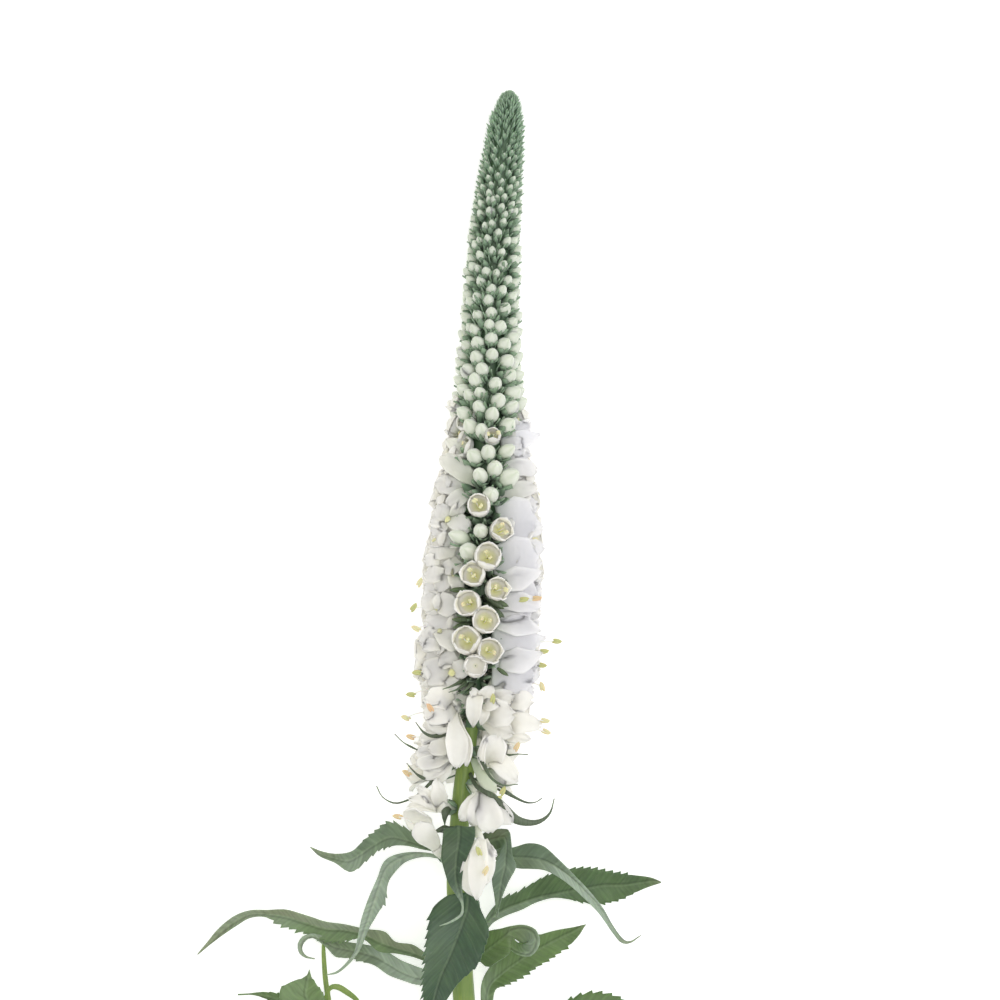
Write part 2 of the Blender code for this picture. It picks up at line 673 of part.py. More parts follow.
def make_stem(line, part, cutters, finish):
    """The leafy stem, swollen at each ring of leaves, with its slanting cut end and its side shoot."""
    lower = [p for p in line if p[1] < HEAD_FROM_Y - SEAT_GAP / 2 - 1]
    lower.append(point_at_y(line, HEAD_FROM_Y - SEAT_GAP / 2))
    swollen = [(x, y, z, swollen_radius(y, radius)) for x, y, z, radius in lower]
    stem = add_object("stem", tube_mesh("stem", swollen, 3), part, finish)
    group = new_group("shoots")
    add_object("shoot", tube_mesh("shoot", smooth_line(SIDE_SHOOT, SHOOT_STEPS), 1), group)
    join_all(stem, group)
    slant = Matrix.Rotation(math.radians(CUT_SLANT), 3, "X")
    beyond = Vector(lower[0][:3]) - Vector((0, CUT_BLOCK[1] / 2 + 0.2, 0))
    cut(stem, box_object("end_cut", cutters, beyond, CUT_BLOCK, slant))


def seated(line, route):
    """The route of a leaf with its first point moved to SEAT_GAP from the swollen stem."""
    first = Vector(route[0])
    *centre, radius = point_at_y(line, first.y)
    low, high = (Vector(point_at_y(line, first.y + step)[:3]) for step in (-1, 1))
    along = (high - low).normalized()
    out = first - Vector(centre)
    out = (out - along * out.dot(along)).normalized()
    seat = Vector(centre) + out * (swollen_radius(first.y, radius) + SEAT_GAP)
    return [seat, seat + out * STRAIGHT_START, *route[1:]]


def swollen_radius(y, radius):
    """The stem's radius at a height, with the swelling where leaves grow."""
    nearest = min(abs(y - at) for at in LEAF_RINGS_Y)
    return radius + JOINT_SWELLING * math.exp(-(nearest / SWELLING_REACH) ** 2)


def half_width(leaf, t, tooth):
    """Half width of a blade at a share of its length: a stalk, a toothed blade and a long point."""
    bend = math.log(0.5) / math.log(leaf["widest"])
    half = leaf["half_width"] * max(math.sin(math.pi * t ** bend), 0.0) ** BLADE_FULLNESS
    if tooth and TEETH_FROM < t < 1 - TEETH_FROM:
        half *= 1 - TOOTH_DEPTH
    return max(half, STALK_HALF_WIDTH if t < 0.5 else POINT_HALF_WIDTH)


def make_leaf(name, line, part, finish):
    """A thin blade folded along its midrib, which flattens on to the table where it lies there."""
    leaf = LEAVES[name]
    route = leaf["route"] if name == "leaf_side_shoot" else seated(line, leaf["route"])
    points = [Vector(p) for p in smooth_line(route, TEETH_STEPS)]
    faces = [(i / (len(leaf["faces"]) - 1), *f) for i, f in enumerate(leaf["faces"])]
    lowest = LEAF_THICKNESS / 2
    bm = bmesh.new()
    rows = []
    for k, point in enumerate(points):
        t = k / TEETH_STEPS
        along = (points[min(k + 1, TEETH_STEPS)] - points[max(k - 1, 0)]).normalized()
        clear = min(max((point.z - lowest) / LYING_HEIGHT, 0), 1)
        face = Vector((0, 0, 1)).lerp(Vector(blend(faces, t)[1:]).normalized(), clear)
        side = face.cross(along).normalized()
        fold = math.radians(leaf["fold"]) * clear
        half = half_width(leaf, t, k % 2)
        lift = along.cross(side) * half * math.sin(fold)
        out = side * half * math.cos(fold)
        row = [point - out + lift, point, point + out + lift]
        rows.append([bm.verts.new(Vector((p.x, p.y, max(p.z, lowest))) * MM) for p in row])
    for a, b in zip(rows, rows[1:]):
        for i in (0, 1):
            bm.faces.new((a[i], a[i + 1], b[i + 1], b[i]))
    bmesh.ops.triangulate(bm, faces=bm.faces)
    mesh = bpy.data.meshes.new(name)
    bm.to_mesh(mesh)
    bm.free()
    shade_round(mesh)
    solid = add_object(name, mesh, part, finish).modifiers.new("thickness", "SOLIDIFY")
    solid.thickness = LEAF_THICKNESS * MM
    solid.offset = 0


def main():
    for old in list(bpy.data.objects):
        bpy.data.objects.remove(old)
    part = new_group("veronica_flower_spike")
    cutters = new_group("cutters")
    line = smooth_line(MIDDLE_LINE, LINE_STEPS)
    petals = material("petals", PETAL_WHITE, 0.6)
    green_leaf = material("leaf", LEAF_GREEN, 0.55)
    green_stem = material("stem", STEM_GREEN, 0.5)
    make_spike(line, part, cutters, petals)
    make_stem(line, part, cutters, green_stem)
    for name in LEAVES:
        make_leaf(name, line, part, green_leaf)


main()
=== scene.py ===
# A cut stem of white veronica, lying on a pale table and seen from straight above.
# Sizes are in millimetres up to the moment a vertex is made; the frame itself is in metres.
import json
import math
import random

import bmesh
import bpy
from mathutils import Matrix, Vector

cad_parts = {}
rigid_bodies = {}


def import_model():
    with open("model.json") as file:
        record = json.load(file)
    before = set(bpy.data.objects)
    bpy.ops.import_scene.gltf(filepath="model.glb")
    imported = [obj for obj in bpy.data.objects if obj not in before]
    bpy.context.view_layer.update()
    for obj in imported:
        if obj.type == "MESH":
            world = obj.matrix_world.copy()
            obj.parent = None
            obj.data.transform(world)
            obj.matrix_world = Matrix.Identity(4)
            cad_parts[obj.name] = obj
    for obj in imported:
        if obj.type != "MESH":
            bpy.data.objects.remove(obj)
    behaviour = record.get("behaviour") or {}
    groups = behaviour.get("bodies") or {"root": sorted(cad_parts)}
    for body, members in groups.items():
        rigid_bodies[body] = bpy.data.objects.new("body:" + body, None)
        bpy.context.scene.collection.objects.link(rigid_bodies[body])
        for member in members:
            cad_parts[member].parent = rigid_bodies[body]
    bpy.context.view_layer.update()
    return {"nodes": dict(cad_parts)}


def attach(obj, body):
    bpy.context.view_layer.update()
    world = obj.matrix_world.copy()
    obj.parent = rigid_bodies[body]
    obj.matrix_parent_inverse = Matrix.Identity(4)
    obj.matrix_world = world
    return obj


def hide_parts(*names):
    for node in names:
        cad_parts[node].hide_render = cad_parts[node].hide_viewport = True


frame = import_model()
mm = 0.001
fullTurn = 2 * math.pi
goldenAngle = math.radians(137.508)
print("frame loaded:", len(frame["nodes"]), "nodes")


# small helpers

def toLinear(hexColour):
    parts = [int(hexColour[i:i + 2], 16) / 255 for i in (1, 3, 5)]
    return tuple(c / 12.92 if c <= 0.04045 else ((c + 0.055) / 1.055) ** 2.4 for c in parts) + (1.0,)


def addNode(tree, kind, links=None, **settings):
    node = tree.nodes.new(kind)
    for name, value in settings.items():
        setattr(node, name, value)
    for socket, value in (links or {}).items():
        target = node.inputs[socket]
        if isinstance(value, bpy.types.NodeSocket):
            tree.links.new(value, target)
        else:
            target.default_value = value
    return node


def smoothLine(points, steps):  # evenly spaced points on a Catmull-Rom curve, of any dimension
    first = [2 * a - b for a, b in zip(points[0], points[1])]
    last = [2 * a - b for a, b in zip(points[-1], points[-2])]
    ends = [first, *points, last]
    fine = []
    for i in range(1, len(ends) - 2):
        for k in range(24):
            t = k / 24
            fine.append([
                0.5 * (2 * b + (c - a) * t + (2 * a - 5 * b + 4 * c - d) * t * t
                       + (3 * b - a - 3 * c + d) * t ** 3)
                for a, b, c, d in zip(*ends[i - 1:i + 3])
            ])
    fine.append(list(points[-1]))
    lengths = [0.0]
    for a, b in zip(fine, fine[1:]):
        lengths.append(lengths[-1] + math.dist(a[:3], b[:3]))
    made, j = [], 0
    for k in range(steps + 1):
        want = lengths[-1] * k / steps
        while j < len(lengths) - 2 and lengths[j + 1] < want:
            j += 1
        share = min((want - lengths[j]) / max(lengths[j + 1] - lengths[j], 1e-9), 1)
        made.append([a + (b - a) * share for a, b in zip(fine[j], fine[j + 1])])
    return made


def blend(rows, at):  # the row of a table at a value of its first column
    at = min(max(at, rows[0][0]), rows[-1][0])
    for low, high in zip(rows, rows[1:]):
        if at <= high[0]:
            share = (at - low[0]) / (high[0] - low[0])
            return [a + (b - a) * share for a, b in zip(low, high)]


def ease(low, high, value):
    t = min(max((value - low) / (high - low), 0.0), 1.0)
    return t * t * (3 - 2 * t)


def meshFrom(name, vertices, faces, layers=None, uvs=None, smooth=True):
    mesh = bpy.data.meshes.new(name)
    mesh.from_pydata([tuple(c * mm for c in v) for v in vertices], [], faces)
    for layer, values in (layers or {}).items():
        mesh.attributes.new(layer, "FLOAT", "POINT").data.foreach_set("value", values)
    if uvs:
        grid = mesh.uv_layers.new(name="blade")
        for loop in mesh.loops:
            grid.data[loop.index].uv = uvs[loop.vertex_index]
    if smooth:
        mesh.shade_smooth()
    return mesh


def weld(mesh, distance=0.004):
    bm = bmesh.new()
    bm.from_mesh(mesh)
    bmesh.ops.remove_doubles(bm, verts=bm.verts, dist=distance * mm)
    bmesh.ops.recalc_face_normals(bm, faces=bm.faces)
    bm.to_mesh(mesh)
    bm.free()
    return mesh


def finishPiece(name, mesh, finishes, slot, *nodes):
    piece = bpy.data.objects.new(name, mesh)
    bpy.context.scene.collection.objects.link(piece)
    if finishes:
        mesh.materials.clear()
        for finish in finishes:
            mesh.materials.append(finish)
    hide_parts(*nodes)
    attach(piece, "root")


def sweep(line, sides, flat=1.0, upHint=(0, 0, 1)):
    # a closed tube through rows of x, y, z, radius; flat squeezes it across the hint
    vertices, faces = [], []
    count = len(line)
    for k, (*place, radius) in enumerate(line):
        before = Vector(line[max(k - 1, 0)][:3])
        after = Vector(line[min(k + 1, count - 1)][:3])
        along = (after - before).normalized()
        up = Vector(upHint)
        up = (up - along * up.dot(along)).normalized()
        side = along.cross(up)
        for i in range(sides):
            angle = fullTurn * i / sides
            vertices.append(Vector(place) + (up * math.sin(angle) * flat + side * math.cos(angle)) * radius)
    for k in range(count - 1):
        for i in range(sides):
            j = (i + 1) % sides
            faces.append((k * sides + i, (k + 1) * sides + i, (k + 1) * sides + j, k * sides + j))
    faces.append(tuple(range(sides)))
    faces.append(tuple(range((count - 1) * sides, count * sides))[::-1])
    return vertices, faces


def prismFaces(rows, sides=4):  # rings of points, joined and closed at both ends
    faces = []
    for k in range(rows - 1):
        for i in range(sides):
            j = (i + 1) % sides
            faces.append((k * sides + i, k * sides + j, (k + 1) * sides + j, (k + 1) * sides + i))
    return [*faces, tuple(range(sides))[::-1], tuple(range((rows - 1) * sides, rows * sides))]


def skinFaces(rows, columns, rimFrom=0.0):  # a thin closed sheet; its side rims start at a share of the rows
    def at(k, c, layer):
        return (k * columns + c) * 2 + layer
    faces, last, end = [], columns - 1, rows - 1
    for k in range(end):
        for c in range(last):
            faces.append((at(k, c, 0), at(k, c + 1, 0), at(k + 1, c + 1, 0), at(k + 1, c, 0)))
            faces.append((at(k, c, 1), at(k + 1, c, 1), at(k + 1, c + 1, 1), at(k, c + 1, 1)))
        if (k + 1) / end > rimFrom + 0.001:
            faces.append((at(k, 0, 0), at(k + 1, 0, 0), at(k + 1, 0, 1), at(k, 0, 1)))
            faces.append((at(k, last, 0), at(k, last, 1), at(k + 1, last, 1), at(k + 1, last, 0)))
    for c in range(last):
        faces.append((at(0, c, 0), at(0, c, 1), at(0, c + 1, 1), at(0, c + 1, 0)))
        faces.append((at(end, c, 0), at(end, c + 1, 0), at(end, c + 1, 1), at(end, c, 1)))
    return faces


def newStore():  # a mesh in the making, to which forms are added
    return {"vertices": [], "faces": [], "layers": {}}


def gather(store, points, closed, **values):  # each layer gets one value, or a list with one a point
    first = len(store["vertices"])
    store["vertices"].extend(tuple(p) for p in points)
    store["faces"].extend(tuple(first + i for i in face) for face in closed)
    for layer, value in values.items():
        each = value if isinstance(value, list) else [value] * len(points)
        store["layers"].setdefault(layer, []).extend(each)


def spun(x, y, z, turn):  # a place turned round the upright axis
    return x * math.cos(turn) - y * math.sin(turn), x * math.sin(turn) + y * math.cos(turn), z


def flatWay(degrees, rise):  # a way over the table, and how much it rises
    return Vector((math.cos(math.radians(degrees)), math.sin(math.radians(degrees)), rise))


# the middle line of the stem and spike, from the cut end to the tip: x, y, height, stem radius
middleLine = smoothLine([
    (10.0, -120.0, 2.8, 2.30), (9.2, -100.0, 5.0, 2.30), (8.2, -78.0, 7.4, 2.25), (6.6, -54.0, 9.6, 2.15),
    (5.8, -38.0, 10.7, 2.10), (6.8, -22.0, 11.2, 2.05), (8.8, -8.0, 11.4, 1.95), (10.4, 14.0, 10.9, 1.75),
    (11.6, 38.0, 9.5, 1.55), (12.2, 62.0, 7.6, 1.35), (13.2, 88.0, 5.9, 1.10), (15.2, 108.0, 4.9, 0.80),
    (16.4, 119.0, 4.4, 0.45),
], 130)
headFromY = -30.6  # where the leafy stem ends and the flower spike begins


def pointAtY(y):
    for low, high in zip(middleLine, middleLine[1:]):
        if low[1] <= y <= high[1]:
            share = (y - low[1]) / (high[1] - low[1])
            return [a + (b - a) * share for a, b in zip(low, high)]
    return list(middleLine[-1] if y > 0 else middleLine[0])


def lineFrame(distance):  # at a distance from the tip: place, way to the tip, upward and sideways ways
    back = 0.0
    for low, high in zip(reversed(middleLine[:-1]), reversed(middleLine[1:])):
        step = math.dist(low[:3], high[:3])
        if back + step >= distance:
            break
        back += step
    share = (distance - back) / step
    place = Vector(high[:3]).lerp(Vector(low[:3]), share)
    along = (Vector(high[:3]) - Vector(low[:3])).normalized()
    up = (Vector((0, 0, 1)) - along * along.z).normalized()
    return place, along, up, along.cross(up)


def distanceOfY(y):
    chain = [pointAtY(y), *(p for p in middleLine if p[1] > y)]
    return sum(math.dist(a[:3], b[:3]) for a, b in zip(chain, chain[1:]))


# materials

def startFinish(name):  # a new material: itself, its tree, its main shader, and places on the piece in metres
    made = bpy.data.materials.new(name)
    made.use_nodes = True
    tree = made.node_tree
    return made, tree, tree.nodes["Principled BSDF"], addNode(tree, "ShaderNodeTexCoord").outputs["Object"]


def readLayers(tree, *layers):
    return [addNode(tree, "ShaderNodeAttribute", attribute_name=layer).outputs["Fac"] for layer in layers]


def calculate(tree, operation, *values, **how):
    return addNode(tree, "ShaderNodeMath", dict(enumerate(values)), operation=operation, **how).outputs[0]


def remap(tree, value, fromMin, fromMax, toMin, toMax, **how):
    links = {"Value": value, "From Min": fromMin, "From Max": fromMax, "To Min": toMin, "To Max": toMax}
    return addNode(tree, "ShaderNodeMapRange", links, **how).outputs["Result"]


def mixTones(tree, share, low, high, **how):  # each of the two is a hex colour or a socket
    low, high = (toLinear(tone) if isinstance(tone, str) else tone for tone in (low, high))
    links = {"Factor": share, "A": low, "B": high}
    return addNode(tree, "ShaderNodeMix", links, data_type="RGBA", **how).outputs["Result"]


def noiseOf(tree, place, scale, detail):
    return addNode(tree, "ShaderNodeTexNoise", {
        "Vector": place, "Scale": scale, "Detail": detail}).outputs["Fac"]


def cellsOf(tree, place, scale, **how):
    return addNode(tree, "ShaderNodeTexVoronoi", {"Vector": place, "Scale": scale}, **how).outputs["Distance"]


def setShader(tree, shader, colour, strength, depthMm, height, values):  # colour, bumps, then plain values
    bump = addNode(tree, "ShaderNodeBump", {"Strength": strength, "Distance": depthMm * mm, "Height": height})
    tree.links.new(bump.outputs["Normal"], shader.inputs["Normal"])
    tree.links.new(colour, shader.inputs["Base Color"])
    for socket, value in values.items():
        shader.inputs[socket].default_value = value


petalLook = {
    "white": "#F1EFE6",
    "budWhite": "#DFE3D7",   # a closed bud is greener than an open flower
    "paintedBacklight": "#EEEEF4",      # painted backlight: the cool tint of a petal seen through against the light, laid on sheet by sheet, most on the right side
    "inside": "#FFFAE6",     # creamy throat, partly its own cream and partly painted fill light: paler than the petal white to offset the shade where light is lost between the lobes
    "heart": "#D6D980",      # yellow-green floor of the throat
    "young": "#B9C8AC",      # a bud's base, still green
    "unripe": "#93AC93",     # the smallest buds of the tip
    "roughness": 0.55,
    "grainMm": 0.35,         # cells of the petal, drawn about five times too coarse so they show
    "glowMm": 1.2,           # how far light travels inside a thin petal
}


def makePetalFinish():  # petal tissue: grown, waxy and watery, so it glows where it is thin and hardly shines
    made, tree, shader, place = startFinish("petalTissue")
    inner, along, ripe, crease, shutAndBacklight = readLayers(tree, "inner", "along", "ripe", "crease", "tint")
    white = mixTones(tree, shutAndBacklight, petalLook["white"], petalLook["budWhite"])
    # painted backlight: a negative tint mixes the cool colour of a petal against the light into the white
    cooled = mixTones(tree, calculate(tree, "MULTIPLY", shutAndBacklight, -1.0), white, petalLook["paintedBacklight"])
    outer = mixTones(tree, remap(tree, along, 0.05, 0.6, 0.0, 1.0), petalLook["young"], cooled)
    # the throat colour: its own cream, and painted fill light, as it is paler than the white of the petals
    inside = calculate(tree, "MULTIPLY", inner, remap(tree, along, 0.35, 0.95, 1.0, 0.1))
    creamAndPaintedFill = mixTones(tree, inside, outer, petalLook["inside"])
    floor = calculate(tree, "MULTIPLY", inner, remap(tree, along, 0.0, 0.3, 1.0, 0.0))
    both = mixTones(tree, floor, creamAndPaintedFill, petalLook["heart"])
    aged = mixTones(tree, ripe, petalLook["unripe"], both)
    # painted shade: the crease layer mixes the young green into the folds and tip of each bud
    paintedCreaseShade = mixTones(tree, crease, aged, petalLook["young"])
    mottle = remap(tree, noiseOf(tree, place, 1 / (4 * mm), 3.0), 0.3, 0.7, 0.94, 1.03)
    final = mixTones(tree, 1.0, paintedCreaseShade, mottle, blend_type="MULTIPLY")
    cells = cellsOf(tree, place, 1 / (petalLook["grainMm"] * mm), feature="SMOOTH_F1")
    setShader(tree, shader, final, 0.12, 0.05, cells, {
        "Roughness": petalLook["roughness"], "Subsurface Weight": 0.85,
        "Subsurface Scale": petalLook["glowMm"] * mm, "Subsurface Radius": (1.0, 0.98, 0.92),
        "Specular IOR Level": 0.3, "Sheen Weight": 0.15, "Sheen Roughness": 0.4,
    })
    return made


greenLook = {
    "calyx": "#90A88C",
    # painted shade colour for the base of the sepals, down between the buds
    "calyxPaintedShade": "#5E7A62",
    "tip": "#A0BC9E",        # the tight tip of the spike, with a grey bloom
    # painted shade colour for the base of the tip's sepals
    "tipPaintedShade": "#70927A",
    "roughness": 0.6,
}


def makeCalyxFinish():  # sepals and bracts: young leaf skin with a dull bloom, with painted shade making them darker down between the buds
    made, tree, shader, place = startFinish("sepalSkin")
    ripe, along = readLayers(tree, "ripe", "along")
    cloud = noiseOf(tree, place, 1 / (1.6 * mm), 4.0)
    # painted shade: darker towards the base of each sepal and bract, down between the buds
    body = mixTones(tree, along, greenLook["calyxPaintedShade"], greenLook["calyx"])
    fresh = mixTones(tree, along, greenLook["tipPaintedShade"], greenLook["tip"])
    young = mixTones(tree, ripe, fresh, body)
    final = mixTones(tree, 1.0, young, remap(tree, cloud, 0.3, 0.7, 0.8, 1.15), blend_type="MULTIPLY")
    setShader(tree, shader, final, 0.25, 0.06, cloud, {
        "Roughness": greenLook["roughness"], "Subsurface Weight": 0.12, "Subsurface Scale": 0.4 * mm,
        "Subsurface Radius": (0.5, 1.0, 0.3), "Sheen Weight": 0.1,
    })
    return made


stamenLook = {
    "filament": "#F2F1EA",
    "anther": "#E6E2B4",
    "antherOld": "#E2BF94",    # orange-tan, once the pollen is out
    "antherFresh": "#C6C888",  # still shut, olive
}


def makeStamenFinish():  # threads are smooth and watery, anthers are dry, powdery pollen sacs
    made, tree, shader, place = startFinish("stamenAndPollen")
    pollen, old = readLayers(tree, "pollen", "tint")
    yellow = mixTones(tree, old, stamenLook["anther"], stamenLook["antherOld"])
    ripened = mixTones(tree, calculate(tree, "MULTIPLY", old, -1.0), yellow, stamenLook["antherFresh"])
    final = mixTones(tree, pollen, stamenLook["filament"], ripened)
    setShader(tree, shader, final, 0.3, 0.04, cellsOf(tree, place, 1 / (0.12 * mm)), {
        "Roughness": 0.7, "Subsurface Weight": 0.2, "Subsurface Scale": 0.4 * mm})
    return made


stemLook = {
    "green": "#869C4B",
    "shade": "#6C8746",
    "pith": "#DDE3B8",
    "roughness": 0.5,
    "ribs": 6,               # shallow ribs that run along the stem
    "ribDepth": 0.06,
    "fibreMm": 0.25,
    "ringsY": (-33.0, -53.5, -77.5),
    "swelling": 0.45,
    "swellingReach": 1.6,
    "cutSlant": 40.0,        # degrees
    "cutY": -118.3,
    "startY": -122.0,        # the tube starts below the cut
    "stepMm": 0.7,
}


def makeStemFinish(name, green, shade):  # herb stem: smooth ribbed skin over long fibres, slightly waxy
    made, tree, shader, place = startFinish(name)
    across = 1 / (stemLook["fibreMm"] * mm)
    drawn = addNode(tree, "ShaderNodeMapping", {"Vector": place, "Scale": (across, 1 / (9 * mm), across)})
    fibre = noiseOf(tree, drawn.outputs["Vector"], 1.0, 2.0)
    mixed = calculate(tree, "MULTIPLY", fibre, noiseOf(tree, place, 1 / (7 * mm), 3.0))
    colour = mixTones(tree, remap(tree, mixed, 0.12, 0.4, 0.0, 1.0), shade, green)
    setShader(tree, shader, colour, 0.3, 0.05, fibre, {
        "Roughness": stemLook["roughness"], "Subsurface Weight": 0.2, "Subsurface Scale": 0.8 * mm,
        "Subsurface Radius": (0.6, 1.0, 0.3), "Coat Weight": 0.08, "Coat Roughness": 0.4,
    })
    return made


stemFinish = makeStemFinish("herbStemSkin", stemLook["green"], stemLook["shade"])
# painted shade: a darker copy of the stem skin for the axis in among the buds
shadedAxisFinish = makeStemFinish("shadedAxisSkin", "#5C7A58", "#456349")
pithFinish = makeStemFinish("cutPith", stemLook["pith"], "#C3CE93")
bractFinish = makeStemFinish("driedBractSkin", "#5F6E55", "#434E3C")
petalFinish = makePetalFinish()
calyxFinish = makeCalyxFinish()
stamenFinish = makeStamenFinish()


# the flower spike

spikeSettings = {
    # distance from the tip: core radius, lean to the tip, length, bud width, step, ripeness, calyx share
    "shape": [
        (0, 0.1, 86, 1, 0.55, 0.03, 0, 0.95), (0.9, 0.35, 84, 1.1, 0.6, 0.035, 0, 0.95),
        (1.6, 1, 74, 1.3, 0.65, 0.04, 0, 0.95), (2.4, 1.35, 66, 1.5, 0.7, 0.05, 0, 0.95),
        (4, 1.6, 60, 1.7, 0.75, 0.065, 0, 0.95), (6.5, 2.1, 54, 2, 0.82, 0.085, 0.02, 0.95),
        (9, 2.4, 52, 2.25, 0.95, 0.1, 0.14, 0.9), (14, 2.65, 50, 2.55, 1.1, 0.12, 0.4, 0.82),
        (20, 2.85, 48, 2.95, 1.4, 0.15, 0.62, 0.74), (26, 2.95, 45, 3.15, 1.7, 0.17, 0.74, 0.66),
        (32, 3, 43, 3.35, 1.95, 0.19, 0.8, 0.6), (44, 3.1, 38, 3.8, 2.35, 0.23, 0.86, 0.55),
        (56, 3.15, 33, 4.45, 2.7, 0.265, 0.92, 0.5), (62, 3.2, 30, 4.9, 2.9, 0.27, 0.95, 0.48),
        (68, 3.2, 27, 5.6, 3.2, 0.27, 0.97, 0.44), (74, 3.2, 22, 6.4, 4, 0.29, 1, 0.4),
        (80, 3.2, 16, 7.1, 4.8, 0.3, 1, 0.36), (86, 3.1, 12, 7.9, 5.4, 0.32, 1, 0.34),
        (94, 3, 9, 8.7, 5.8, 0.34, 1, 0.32), (112, 2.2, 3, 10, 6.4, 0.4, 1, 0.3),
        (120, 1.4, -2, 10.4, 6.6, 0.6, 1, 0.3), (130, 1.3, -10, 10.2, 6.2, 0.8, 1, 0.3),
        (136, 1.9, -16, 9.8, 6, 0.9, 1, 0.3), (150, 2, -20, 9.6, 5.8, 1.1, 1, 0.3),
    ],
    "firstBud": 0.7,
    "openFrom": 79.0,        # past this distance from the tip the buds are open florets
    "looseFrom": 117.0,
    "placedFrom": 27.0,      # past this distance the buds in front stand where the picture has them
    "sidesOpenFrom": 66.0,   # the sides open before the front
    "hiddenWidth": 5.0,      # florets below the broad petals of the sides
    "opensOver": 34.0,       # how far down a bud at the side becomes a full flower
    "tiredFrom": 124.0,
    "agedFrom": 121.0,       # anthers that may have lost their pollen
    "budStalk": 0.16,        # share of the length that is stalk
    "floretStalk": 0.26,
    "shadedAxisFromY": -8.0,       # the axis is painted in shade, a darker copy of the stem skin, from here to the tip
    "shownBractLift": 5.6,
    "length": 138.0,
    "seed": 40,
    "turnVaries": 7.0,       # degrees
    "leanVaries": 6.0,
}
coreAt, leanAt, lengthAt, widthAt, stepAt, ripeAt, calyxAt = range(1, 8)
closedBud, greenOnly = -1, -2  # kinds of floret beside the open corollas, which count from 0
smallCup, tiredCup, wideCup, filledCup = 1, 3, 4, 5  # places in the list of corollas


def budShape():  # a closed corolla one millimetre wide and long: four petals folded to a blunt point
    profile = [
        (0.0, 0.18), (0.08, 0.32), (0.22, 0.44), (0.4, 0.5), (0.58, 0.47), (0.76, 0.36), (0.91, 0.19),
        (1.0, 0.04),
    ]
    sides = 12
    vertices, along, crease = [], [], []
    for height, radius in profile:
        for i in range(sides):
            angle = fullTurn * i / sides
            fold = max(math.cos(4 * angle), 0) ** 2 * ease(0.35, 0.95, height)
            vertices.append(spun(radius * (1 - 0.08 * fold), 0, height, angle))
            along.append(height)
            # painted shade: the crease layer greys the folds between the petals and the blunt tip
            crease.append(0.4 * fold + 0.3 * ease(0.88, 1.0, height))
    return meshFrom("budShape", vertices, prismFaces(len(profile), sides), {"along": along, "crease": crease})


def calyxShape():  # four pointed sepals round a bud one millimetre wide and long, on a short stalk
    store = newStore()
    rows = [(0.0, 0.24, 0.20), (0.3, 0.46, 0.36), (0.6, 0.54, 0.34), (0.85, 0.57, 0.18), (1.04, 0.60, 0.03)]
    for sepal in range(4):
        points, heights = [], []
        for height, radius, half in rows:
            for across, out in ((-half, -0.07), (0, 0.05), (half, -0.07), (0, -0.06)):
                points.append(spun(radius + out, across, height, fullTurn * (sepal + 0.5) / 4))
                heights.append(height)
        gather(store, points, prismFaces(len(rows)), along=heights)
    gather(store, *sweep([(0, 0, -0.35, 0.16), (0, 0, 0.02, 0.24)], 5), along=0.0)
    return weld(meshFrom("calyxShape", **store), 0.0001)


def bractShape():  # a narrow bract one millimetre long, that leaves the axis below a bud and bends round it
    vertices, along = [], []
    rows = 7
    for k in range(rows):
        t = k / (rows - 1)
        half = 0.5 * math.sin(math.pi * (0.12 + 0.86 * t)) ** 0.8
        for across, out in ((-half, -0.04), (0, 0.06), (half, -0.04), (0, -0.05)):
            vertices.append((0.34 * math.sin(t * 1.9) + out, across, t * (1 - 0.1 * t)))
            along.append(t)
    return weld(meshFrom("bractShape", vertices, prismFaces(rows), {"along": along}), 0.0001)


